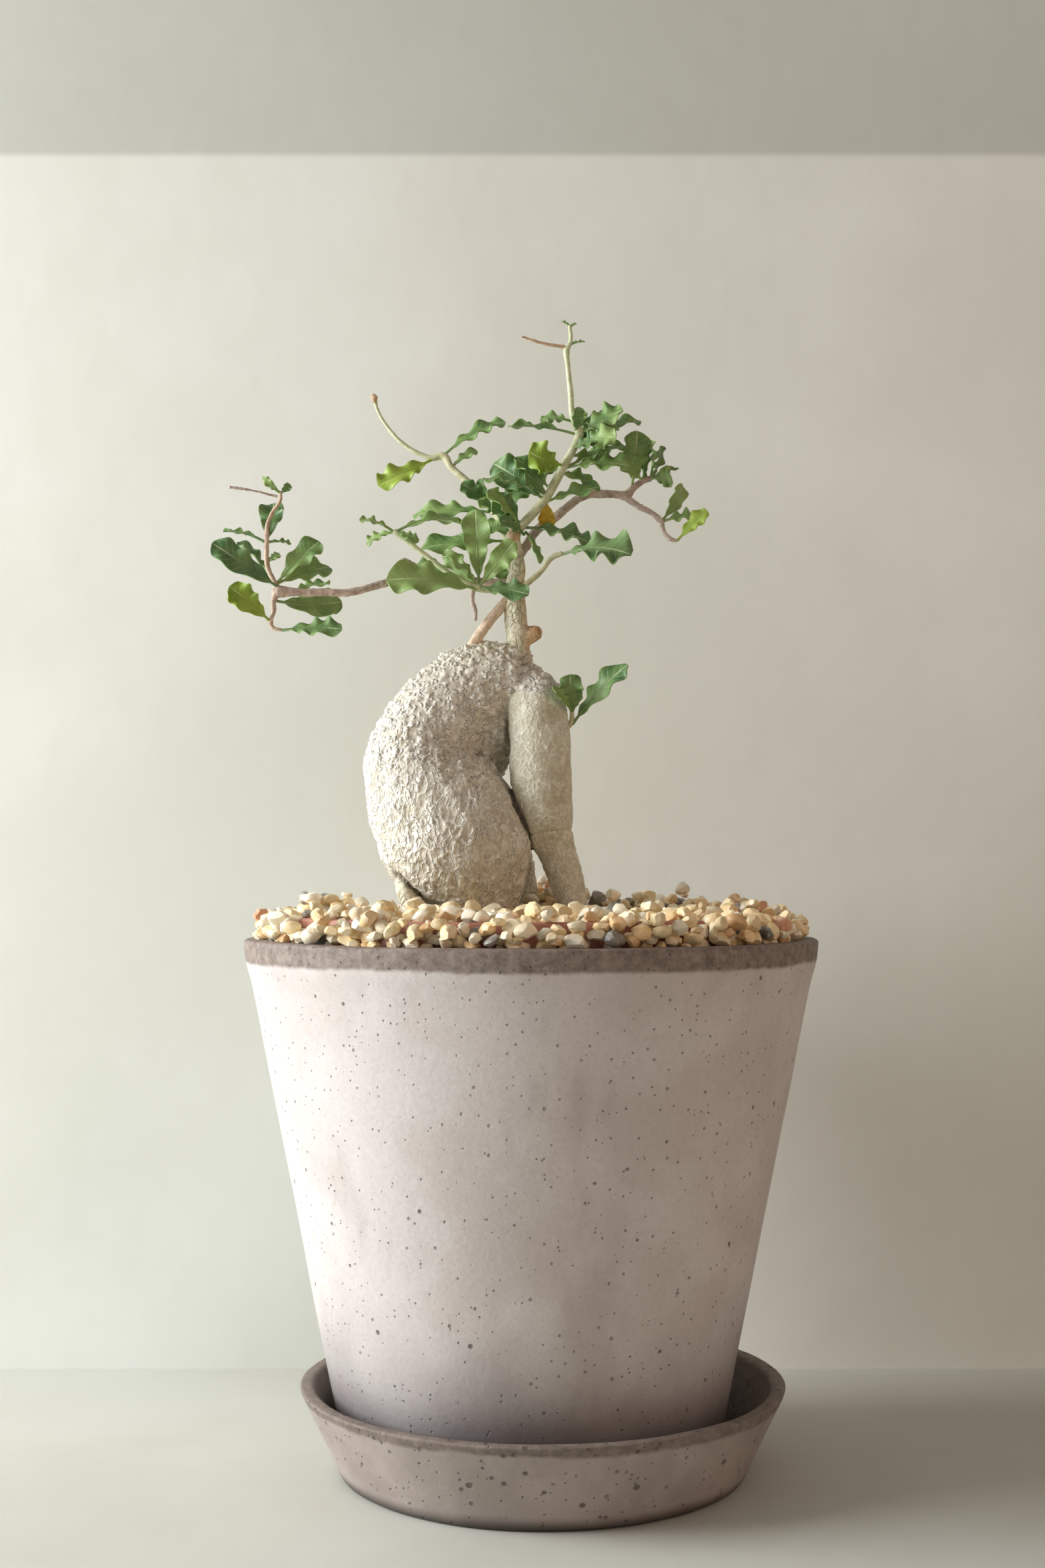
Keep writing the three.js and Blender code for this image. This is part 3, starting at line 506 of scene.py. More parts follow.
def drawLimb(points, name):
    # a curve through the points, thickened as it goes and rounded at its far end, made a mesh
    end, before = Vector(points[-1][:3]), Vector(points[-2][:3])
    beyond = end + (end - before).normalized() * points[-1][3] * 0.6
    points = [*points, (*beyond, points[-1][3] * 0.5)]
    deselectAll()
    bpy.ops.curve.primitive_bezier_curve_add(location=(0, 0, 0))
    line = bpy.context.object
    line.name = name
    spline = line.data.splines[0]
    spline.bezier_points.add(len(points) - 2)
    spline.radius_interpolation = "CARDINAL"
    for knot, (x, y, z, radius) in zip(spline.bezier_points, points):
        knot.co = plantOrigin + Vector((x, y, z)) * mm
        knot.handle_left_type = knot.handle_right_type = "AUTO"
        knot.radius = radius
    line.data.dimensions = "3D"
    line.data.resolution_u = 6
    line.data.bevel_depth = mm
    line.data.bevel_resolution = 9
    line.data.use_fill_caps = True
    activate(line)
    bpy.ops.object.convert(target="MESH")
    return bpy.context.object


def meldLimbs(limbs, name, voxel, smoothing):
    whole = joinPieces([drawLimb(points, name) for points in limbs], name)
    applyModifier(whole, "REMESH", mode="VOXEL", voxel_size=voxel * mm)
    applyModifier(whole, "SMOOTH", factor=0.5, iterations=smoothing)
    return whole


def limbTrees(limbs, spacing=0.8):
    # for each limb its points, finely spaced, with radius and share of the limb's length
    trees = []
    for points in limbs:
        samples = []
        for index in range(len(points) - 1):
            start, end = Vector(points[index]), Vector(points[index + 1])
            steps = max(1, math.ceil((end - start).length / spacing))
            for step in range(steps):
                mix = start.lerp(end, step / steps)
                share = (index + step / steps) / (len(points) - 1)
                samples.append((plantOrigin + mix.xyz * mm, mix.w * mm, share))
        tree = kdtree.KDTree(len(samples))
        for index, sample in enumerate(samples):
            tree.insert(sample[0], index)
        tree.balance()
        trees.append((samples, tree))
    return trees


def limbGaps(co, trees):
    # gap to each limb's surface, limb number and share of the limb's length, closest first
    gaps = []
    for number, (samples, tree) in enumerate(trees):
        _, index, distance = tree.find(co)
        gaps.append((distance - samples[index][1], number, samples[index][2]))
    return sorted(gaps)


# ---- caudex ----
caudexSkin = {
    "voxel": 0.49, "wart": 0.85, "wartCell": 2.1,
    "wrinkle": 0.62, "wrinkleCell": 3, "fine": 0.14,
}


def cellEdge(place, cell, stretch):
    # how far from the border between two cells, and how far from the cell's middle
    scaled = Vector((place.x / stretch[0], place.y / stretch[1], place.z / stretch[2])) / cell
    distances = noise.voronoi(scaled, distance_metric="DISTANCE", exponent=2.5)[0]
    return distances[1] - distances[0], distances[0]


def wrinkleSkin(piece, trees):
    names = list(caudexLimbs)
    values = {"relief": [], "warty": [], "smooth": [], "wood": [], "creviceShade": []}
    moved = []
    for vertex in piece.data.vertices:
        (gap, number, _), (nextGap, nextNumber, _) = limbGaps(vertex.co, trees)[:2]
        place = (vertex.co - plantOrigin) / mm
        part, neighbour = names[number], names[nextNumber]
        onLeg = part == "leg" and place.z < 68
        onTrunk = part in ("trunk", "stub") and place.z > 79.5
        shoulder = smoothStep(36, 56, place.z + 0.25 * (place.x + 24) + 6 * noise.noise(place / 9))
        warty = 0 if onLeg or onTrunk else shoulder
        wrinkled = 0.35 if onLeg or onTrunk else 1 - 0.75 * shoulder
        swirl = noise.noise_vector(place / 4.5) * 1.6
        lump = noise.noise(place / 12) * 0.6 + noise.noise(place / 5 + Vector((7, 1, 3))) * 0.3
        edge, _ = cellEdge(place + swirl, caudexSkin["wrinkleCell"], (0.7, 0.7, 1.8))
        patchy = 0.35 + 0.65 * smoothStep(-0.2, 0.3, noise.noise(place / 5 + Vector((3, 9, 2))))
        ridge = max(0, 1 - edge / 0.3) ** 1.2 * patchy
        _, middle = cellEdge(place + swirl * 0.25, caudexSkin["wartCell"], (1, 1, 0.9))
        wart = max(0, 1 - (middle / 0.62) ** 2) * (0.55 + 0.45 * noise.cell(place / 2.9))
        crust = abs(noise.noise(place / 1.3)) * smoothStep(74, 80, place.z) * (0 if onTrunk else 1)
        fine = noise.noise(place / 1.1) * caudexSkin["fine"]
        raised = warty * wart * caudexSkin["wart"] + wrinkled * ridge * caudexSkin["wrinkle"]
        offset = lump * (0.3 if onTrunk else 1) + raised + fine + crust * 1.6
        if part in ("sideRoot", "rootFlare"):
            offset = lump * 0.25 + ridge * 0.25 + fine
        if onLeg:
            crease = max(0, 1 - abs(place.z - 28.8 - place.x * 0.12) / 0.8)
            offset = lump * 1.2 + raised + fine - 0.5 * crease
        # painted shade, and a slight dip in the skin, in the crevice where a leg or the side root lies against the
        # belly
        against = {part, neighbour}
        creviceShade = max(0, 1 - (nextGap - gap) / (1.5 * mm)) * smoothStep(66, 58, place.z)
        if not (against & {"leg", "sideRoot", "backLeg"} and against & {"belly", "neck"}):
            creviceShade = 0
        offset -= 0.9 * creviceShade
        moved.append(vertex.co + vertex.normal * offset * mm)
        values["creviceShade"].append(creviceShade)
        values["relief"].append(min(1, max(warty * wart, wrinkled * ridge) + crust))
        values["warty"].append(warty)
        values["smooth"].append(0.9 if onLeg else 0.25 * (1 - warty))
        values["wood"].append(1 if onTrunk else 0.8 if part == "sideRoot" else 0.5 * smoothStep(72, 82, place.z))
    for vertex, co in zip(piece.data.vertices, moved):
        vertex.co = co
    for name, layer in values.items():
        writeValues(piece, name, layer)


caudex = meldLimbs(caudexLimbs.values(), "caudex_skin", caudexSkin["voxel"], 3)
caudexTrees = limbTrees(caudexLimbs.values())
wrinkleSkin(caudex, caudexTrees)
smoothShade(caudex)


def valueOf(tree, name):
    return addNode(tree, "Attribute", attribute_name=name).outputs["Fac"]


bark, tree, shader = newMaterial("caudex_bark", Specular_IOR_Level=0.35)
place = addNode(tree, "TexCoord").outputs["Object"]
relief = valueOf(tree, "relief")
warty = valueOf(tree, "warty")
mottle = noiseOf(tree, place, 8, 4, 0.6)
speck = noiseOf(tree, place, 0.9, 4, 0.75)
# small warts above, a net of fine upright skin folds below
pushed = addNode(tree, "TexNoise", {"Vector": place, "Scale": 300, "Detail": 3}).outputs["Color"]
shift = addNode(tree, "VectorMath", {0: pushed, "Scale": 0.0026}, operation="SCALE").outputs[0]
bent = addNode(tree, "VectorMath", {0: place, 1: shift}, operation="ADD").outputs[0]
upright = addNode(tree, "Mapping", {"Vector": bent, "Scale": (1, 1, 0.5)}).outputs[0]
beads = addNode(tree, "TexVoronoi", {"Vector": bent, "Scale": 1000 / 1.35}).outputs["Distance"]
bead = calc(tree, "MULTIPLY", span(tree, beads, 0.55, 0.1), span(tree, warty, 0, 1, 0.12, 1))
net = addNode(tree, "TexVoronoi", {"Vector": upright, "Scale": 1000 / 1.5}, feature="DISTANCE_TO_EDGE")
fold = span(tree, net.outputs["Distance"], 0.2, 0.0)
fold = calc(tree, "MULTIPLY", fold, span(tree, noiseOf(tree, place, 4, 3), 0.35, 0.6, 0.15, 1))
fold = calc(tree, "MULTIPLY", fold, calc(tree, "SUBTRACT", 1.0, warty))
fold = calc(tree, "MULTIPLY", fold, span(tree, valueOf(tree, "smooth"), 0.4, 0.9, 1, 0.35))
ground = ramp(tree, mottle, [(0.32, paint(217, 210, 193)), (0.5, paint(241, 237, 226)), (0.68, paint(250, 248, 242))])
legTone = ramp(tree, mottle, [(0.32, paint(210, 209, 184)), (0.5, paint(235, 234, 214)), (0.68, paint(245, 245, 230))])
height = addNode(tree, "SeparateXYZ", {0: place}).outputs["Z"]
ground = blend(tree, span(tree, height, 0.148 + 0.034, 0.148 + 0.006, 0, 0.55), ground, paint(176, 154, 118))
ground = blend(tree, valueOf(tree, "smooth"), ground, legTone)
ground = blend(tree, span(tree, speck, 0.4, 0.6, 0.3, 0), ground, paint(140, 122, 94))
raised = calc(tree, "MAXIMUM", calc(tree, "MAXIMUM", span(tree, relief, 0.1, 0.8, 0, 0.9), bead), fold)
# painted shade in the hollows between warts and folds; the tops are lightened towards cream-white, partly their own
# pale flakes and partly a painted highlight
skin = blend(tree, span(tree, raised, 0, 0.3, 0.3, 0), ground, paint(160, 142, 112))
skin = blend(tree, calc(tree, "MULTIPLY", raised, 0.6), skin, paint(254, 250, 238))
woodGrain = noiseOf(tree, place, 1.6, 4, 0.7, (1, 1, 0.4))
# the trunk is painted pale and greenish on its lit left side and orange-brown on its right: the orange-brown right side
# is painted shade
pale = ramp(tree, woodGrain, [(0.35, paint(216, 206, 172)), (0.52, paint(234, 228, 200)), (0.68, paint(246, 244, 226))])
shadedBrown = ramp(tree, woodGrain, [(0.35, paint(204, 160, 118)), (0.52, paint(228, 190, 148)), (0.68, paint(244, 220, 186))])
side = calc(tree, "MULTIPLY_ADD", woodGrain, 4 * mm, addNode(tree, "SeparateXYZ", {0: place}).outputs["X"])
woody = blend(tree, span(tree, side, -4.6 * mm, -1 * mm), pale, shadedBrown)
skin = blend(tree, valueOf(tree, "wood"), skin, woody)
# painted shade in the crevices between the legs, the side root and the belly
skin = blend(tree, span(tree, valueOf(tree, "creviceShade"), 0.1, 0.9, 0, 0.8), skin, paint(84, 64, 44))
tree.links.new(skin, shader.inputs["Base Color"])
tree.links.new(span(tree, speck, 0.3, 0.7, 0.6, 0.82), shader.inputs["Roughness"])
bumpOn(tree, shader, [(bead, 0.75), (fold, 0.5), (speck, 0.22)])
finishPiece(caudex, "bark", ["caudex"], bark)
print("caudex grown:", len(caudex.data.polygons), "faces")

# ---- stems: limbs, and how green each limb is at its start and end (0 woody, 1 green) ----
stems = {
    "pink_stem": ([
        [(-16.7, -1, 81, 1.6), (-12.6, -1.5, 87.4, 1.5), (-8.6, -1, 92.3, 1.4), (-5, 0, 96.5, 1.2)],
    ], [(0.1, 0.1)]),
    "long_vine": ([
        [(-5, 1.2, 99.2, 1.3), (-14.7, 2, 99.9, 1.3), (-19.6, 1.5, 100.4, 1.3), (-29.2, 0, 102.2, 1.3),
         (-36, -1, 105, 1.5)],
        [(-28, 0, 101.8, 1.2), (-33, -1, 101.4, 1.1), (-40.4, -3, 99, 1.1), (-51.2, -6, 95.8, 1.05),
         (-54.2, -6.4, 95.8, 1.05), (-66, -8, 95.7, 1.2), (-69.4, -8, 95.9, 1.7), (-71, -8, 96, 1.2)],
        [(-69.6, -8, 95.9, 1), (-70.7, -8, 98, 0.8), (-72.3, -8, 101.3, 0.7), (-73, -8, 104, 0.7),
         (-73, -8, 109.6, 0.65), (-72.8, -7.5, 114.7, 0.6), (-71.2, -7, 118.5, 0.55),
         (-69.4, -7, 121.4, 0.5), (-69.4, -7, 123.4, 0.4)],
        [(-70, -8, 95.5, 1), (-71.1, -8, 93.5, 0.8), (-71.1, -8, 90.5, 0.7), (-71.9, -8, 87.8, 0.6),
         (-71.5, -8, 86, 0.6), (-69.2, -8, 85.3, 0.5)],
        [(-70.2, -7, 122.3, 0.4), (-77, -8, 123.8, 0.35), (-83.3, -9, 124.5, 0.4)],
    ], [(0.1, 0.1), (0.1, 0.25), (0.35, 0.6), (0.3, 0.4), (0.15, 0)]),
    "upper_left_twig": ([
        [(-4.6, 2, 100.5, 1.1), (-6.3, 3, 106, 1.1), (-6.7, 3.5, 111.9, 1.05), (-8.8, 4, 117.4, 1),
         (-10.8, 5, 120.6, 1), (-17.4, 6, 128.4, 1), (-22.6, 7, 133.2, 0.95), (-25, 8, 136.5, 1.2),
         (-28.1, 8, 136, 0.8), (-31.1, 8, 137, 0.65), (-35.7, 8, 139.6, 0.6), (-40.2, 8, 144.1, 0.55),
         (-43.8, 8, 150.2, 0.5), (-44.3, 8, 152.8, 0.6)],
        [(-44.2, 8, 152, 0.6), (-44.5, 8, 153.2, 1), (-44.8, 8, 154, 0.6)],
    ], [(0.55, 0.95), (0, 0)]),
    "green_twig": ([
        [(-5, -1.5, 97.2, 0.9), (-8.5, -2.8, 97, 0.9), (-14.6, -4, 97.4, 1.1), (-21.5, -5, 100.6, 0.85),
         (-30.3, -6, 107, 0.75), (-37.8, -7, 112.7, 0.8)],
    ], [(0.75, 1)]),
    "dead_twig": ([
        [(-16, -3.6, 98, 0.6), (-16.4, -3.4, 94, 0.7), (-15.6, -3.2, 91.5, 0.6), (-15.4, -3, 88.6, 0.5)],
    ], [(0, 0)]),
    "main_green_stem": ([
        [(-4.6, 0, 112.5, 1.4), (-2.4, -1, 115.4, 1.3), (3.8, -2, 122.4, 1.3), (9.2, -3, 131.6, 1.2),
         (12.8, -3, 138.5, 1.1), (13.4, -3, 140.6, 1.4), (11.8, -3, 144.6, 0.9), (11, -3, 152.6, 0.8),
         (10.2, -3, 160.4, 0.7), (10, -3, 164, 0.9), (11, -3, 166.1, 0.6), (10.8, -3, 170.8, 0.5)],
        [(9.8, -3, 164.6, 0.6), (3, -4, 165.6, 0.4), (-2.5, -5, 167.1, 0.35)],
        [(-4.8, -0.8, 111, 1.3), (-4.8, -1.2, 112.7, 1.8), (-4.7, -1, 114, 1.3)],
    ], [(0.8, 1), (0, 0), (0, 0)]),
    "right_branch": ([
        [(-3.8, 0.5, 106.5, 1.3), (-1, 2, 110.5, 1.3), (1.4, 3, 114.4, 1.3), (6.7, 4, 118.3, 1.25),
         (11, 5, 122.1, 1.2), (15.2, 5, 124.8, 1.2), (20, 6, 125.5, 1.2), (24.8, 6, 125.2, 1.2),
         (26.9, 6, 125, 1.4), (29, 6.5, 127.1, 1), (31.7, 7, 129.2, 0.9), (34.3, 7, 130.1, 0.8)],
        [(26, 6, 125, 1), (30.6, 5, 121.7, 0.9), (34.8, 5, 119.5, 0.8), (36.8, 5, 117.4, 0.9),
         (37.4, 4.5, 115.2, 0.7), (39, 4, 112.6, 0.7), (41.1, 4, 111.8, 0.5)],
    ], [(0, 0.1), (0, 0.05)]),
    "big_leaf_stalk": ([
        [(-3, -1.5, 97.5, 0.9), (2.5, -3, 101.9, 0.8), (5.9, -4, 105.9, 0.75), (8.7, -5, 106.9, 0.7)],
    ], [(0.5, 0.85)]),
    "leg_sprout": ([
        [(8.6, -5, 57.5, 0.9), (11, -5.5, 59.6, 0.8), (11.4, -6.5, 62.6, 0.6)],
    ], [(0.5, 0.8)]),
}


def stemMaterial(name, shades):
    material, tree, shader = newMaterial(name, Specular_IOR_Level=0.4)
    place = addNode(tree, "TexCoord").outputs["Object"]
    age = valueOf(tree, "age")
    streak = noiseOf(tree, place, 2.2, 4, 0.7)
    fine = noiseOf(tree, place, 0.5, 3, 0.7)
    old = ramp(tree, streak, [(0.34, paint(*shades["dark"])), (0.62, paint(*shades["wood"]))])
    young = ramp(tree, streak, [(0.34, paint(*shades["green"])), (0.66, paint(*shades["pale"]))])
    skin = blend(tree, age, old, young)
    lenticels = pitsOf(tree, place, 0.95, 0.24, 0.5)
    dotted = calc(tree, "MULTIPLY", lenticels, span(tree, age, 0, 0.8, 0.7, 0.12))
    skin = blend(tree, dotted, skin, paint(222, 205, 190))
    skin = blend(tree, span(tree, fine, 0.3, 0.5, 0.25, 0), skin, paint(112, 88, 70))
    tree.links.new(skin, shader.inputs["Base Color"])
    tree.links.new(span(tree, age, 0, 1, 0.75, 0.5), shader.inputs["Roughness"])
    bumpOn(tree, shader, [(fine, 0.06), (lenticels, 0.05)])
    return material


woodySkin = stemMaterial("woody_skin", {
    "dark": (160, 142, 133), "wood": (216, 200, 190), "green": (190, 146, 104), "pale": (222, 192, 152),
})
greenSkin = stemMaterial("green_skin", {
    "dark": (176, 142, 110), "wood": (222, 192, 158), "green": (184, 196, 146), "pale": (228, 233, 200),
})
pinkSkin = stemMaterial("pink_skin", {
    "dark": (204, 172, 148), "wood": (242, 220, 196), "green": (204, 172, 148), "pale": (242, 220, 196),
})
greenStems = ("upper_left_twig", "green_twig", "main_green_stem", "big_leaf_stalk", "leg_sprout")

for name, (limbs, greenness) in stems.items():
    stem = meldLimbs(limbs, name + "_skin", 0.17, 4)
    trees = limbTrees(limbs, 0.5)
    ages, moved = [], []
    for vertex in stem.data.vertices:
        _, number, share = limbGaps(vertex.co, trees)[0]
        first, last = greenness[number]
        age = first + (last - first) * share
        ages.append(age)
        place = (vertex.co - plantOrigin) / mm
        rough = noise.noise(place / 0.8) * 0.11 + noise.noise(place / 2.6) * 0.16
        moved.append(vertex.co + vertex.normal * rough * (1.15 - age) * mm)
    for vertex, co in zip(stem.data.vertices, moved):
        vertex.co = co
    writeValues(stem, "age", ages)
    smoothShade(stem)
    material = pinkSkin if name == "pink_stem" else greenSkin if name in greenStems else woodySkin
    finishPiece(stem, "green_stem" if name in greenStems else "woody_stem", [name], material)
print("stems grown")

# ---- leaves: stem, limb, limb's point, tip, blade width, way the upper face looks, arch, sweep ----
leaves = {
    "vine_leaf_1": ("long_vine", 1, 6, (-87.1, -15, 108.1), 7.8, (-0.2, -0.9, 0.4), 0.06, 0.02),
    "vine_leaf_2": ("long_vine", 2, 2, (-81.5, -2, 110.6), 4.6, (0.5, -0.5, 0.7), 0.05, 0),
    "vine_leaf_3": ("long_vine", 2, 4, (-85.2, -7, 112.7), 4.5, (0, -0.1, 1), 0.08, 0),
    "vine_leaf_4": ("long_vine", 2, 4, (-72, -1, 121.5), 7, (0, -1, 0.2), 0.06, 0),
    "vine_leaf_5": ("long_vine", 3, 3, (-82.6, -13, 96.6), 7.6, (-0.1, -0.95, 0.3), 0.05, 0),
    "vine_leaf_6": ("long_vine", 3, 5, (-51.9, -12, 85.1), 6.5, (0, -0.75, 0.65), 0.03, 0),
    "vine_leaf_7": ("long_vine", 3, 1, (-53.3, 3, 94.5), 8, (0, -1, 0.1), 0.02, -0.05),
    "vine_leaf_8": ("long_vine", 2, 1, (-58.8, -5, 110.2), 7.4, (-0.3, -0.9, 0.3), 0.06, 0),
    "vine_leaf_9": ("long_vine", 2, 1, (-56.9, 4, 104.5), 6.8, (0, -0.9, 0.4), 0.05, 0),
    "vine_leaf_10": ("long_vine", 1, 5, (-57.5, 6, 100), 5, (0, -0.5, 0.85), 0.05, 0),
    "twig_leaf_1": ("upper_left_twig", 0, 8, (-43, 3, 127.2), 8, (-0.2, -0.9, 0.35), 0.06, 0.04),
    "twig_leaf_2": ("upper_left_twig", 0, 7, (-7.3, 11, 147.1), 6.2, (-0.3, -0.7, 0.6), 0.08, 0),
    "twig_leaf_3": ("upper_left_twig", 0, 4, (-33.6, 9, 119.7), 7, (-0.1, -0.75, 0.65), 0.06, 0),
    "twig_leaf_4": ("upper_left_twig", 0, 2, (-30.9, 4, 109.7), 7.5, (0, -0.8, 0.6), 0.04, 0),
    "green_leaf_1": ("green_twig", 0, 5, (-18.2, 0, 115.4), 6.5, (0, -0.6, 0.8), 0.14, 0),
    "green_leaf_2": ("green_twig", 0, 5, (-47.3, -10, 115.3), 4.5, (0, -0.5, 0.9), 0.1, 0),
    "green_leaf_3": ("green_twig", 0, 2, (-15.6, -3.5, 119.4), 8, (0, -1, 0.1), 0.08, 0),
    "green_leaf_4": ("green_twig", 0, 2, (-24.8, 1.6, 108), 6, (0, 0.8, 0.5), 0.05, 0),
    "green_leaf_5": ("green_twig", 0, 2, (-4.6, -12, 109.2), 6.5, (0.4, -0.8, 0.4), 0.05, 0),
    "green_leaf_6": ("green_twig", 0, 2, (-39.6, -13, 98.4), 10.5, (0, -0.85, 0.5), 0.08, 0),
    "green_leaf_7": ("green_twig", 0, 2, (-0.7, -10, 94.9), 7, (0.1, -0.85, 0.5), 0.04, 0),
    "main_leaf_1": ("main_green_stem", 0, 1, (-10.1, -5, 122.7), 7.4, (-0.3, -0.9, 0.3), 0.06, 0),
    "main_leaf_2": ("main_green_stem", 0, 2, (-10.5, 1, 133), 9.5, (-0.4, -0.8, 0.4), 0.08, 0),
    "main_leaf_3": ("main_green_stem", 0, 2, (-13.2, -12, 126), 6, (0, -0.5, 0.8), 0.1, 0),
    "main_leaf_4": ("main_green_stem", 0, 3, (-0.6, -8, 134.4), 9.5, (0.2, -1, 0.2), 0.12, 0.12),
    "main_leaf_5": ("main_green_stem", 0, 3, (0.4, 2, 129.5), 6, (0, -0.9, 0.4), 0.05, 0),
    "main_leaf_6": ("main_green_stem", 0, 5, (-6.4, -8, 141.5), 6, (0, -0.15, 1), 0.05, 0),
    "main_leaf_7": ("main_green_stem", 0, 5, (25.4, -7, 146.2), 8.4, (-0.3, -0.8, 0.5), 0.06, 0),
    "main_leaf_8": ("main_green_stem", 0, 5, (30.9, 1, 145), 5.5, (0, -0.5, 0.85), 0.05, 0),
    "main_leaf_9": ("main_green_stem", 0, 4, (23.4, -10.6, 138), 7, (-0.5, -0.8, 0.3), 0.05, 0),
    "main_leaf_10": ("main_green_stem", 0, 3, (27, 0, 137.8), 6.5, (-0.2, -0.6, 0.8), 0.06, 0),
    "main_leaf_11": ("main_green_stem", 0, 3, (27.4, -6, 131), 7.5, (0, -0.6, 0.8), 0.06, 0),
    "main_leaf_12": ("main_green_stem", 0, 2, (19.3, -3, 125.6), 6.5, (0, -0.7, 0.7), 0.05, 0),
    "spent_leaf": ("main_green_stem", 0, 2, (4.4, 0.5, 115.4), 5, (0, -1, 0), 0.05, 0),
    "branch_leaf_1": ("right_branch", 0, 9, (30, 3, 142.6), 8, (0.2, -0.95, 0.2), 0.05, 0),
    "branch_leaf_2": ("right_branch", 0, 11, (34.1, 12, 142.2), 6, (1, 0, 0.3), 0.05, 0),
    "branch_leaf_3": ("right_branch", 0, 11, (39.6, 2, 129.4), 6.5, (0, 0.9, 0.3), 0.04, 0),
    "branch_leaf_4": ("right_branch", 1, 6, (49.6, 1, 119.8), 5, (-0.4, -0.8, 0.2), 0.05, 0),
    "branch_leaf_5": ("right_branch", 1, 3, (47.6, 6, 119.2), 6, (0, -0.6, 0.8), 0.05, 0),
    "branch_leaf_6": ("right_branch", 1, 3, (43.9, 14, 129), 5, (0.6, -0.7, 0.2), 0.05, 0),
    "trunk_leaf_1": ("big_leaf_stalk", 0, 3, (27.3, -15, 105), 13, (-0.1, -0.7, 0.7), 0.1, 0),
    "trunk_leaf_2": ("main_green_stem", 0, 1, (16.8, -2, 110.3), 8, (0.2, -0.6, 0.8), 0.06, 0),
    "sprout_leaf_1": ("leg_sprout", 0, 2, (10.6, -12.5, 72.5), 7, (0, -1, 0.1), 0.05, 0),
    "sprout_leaf_2": ("leg_sprout", 0, 1, (26.5, -11, 75.4), 7.5, (-0.4, -0.8, 0.4), 0.06, 0),
}
youngLeaves = ("vine_leaf_5", "main_leaf_4", "twig_leaf_1", "branch_leaf_4")

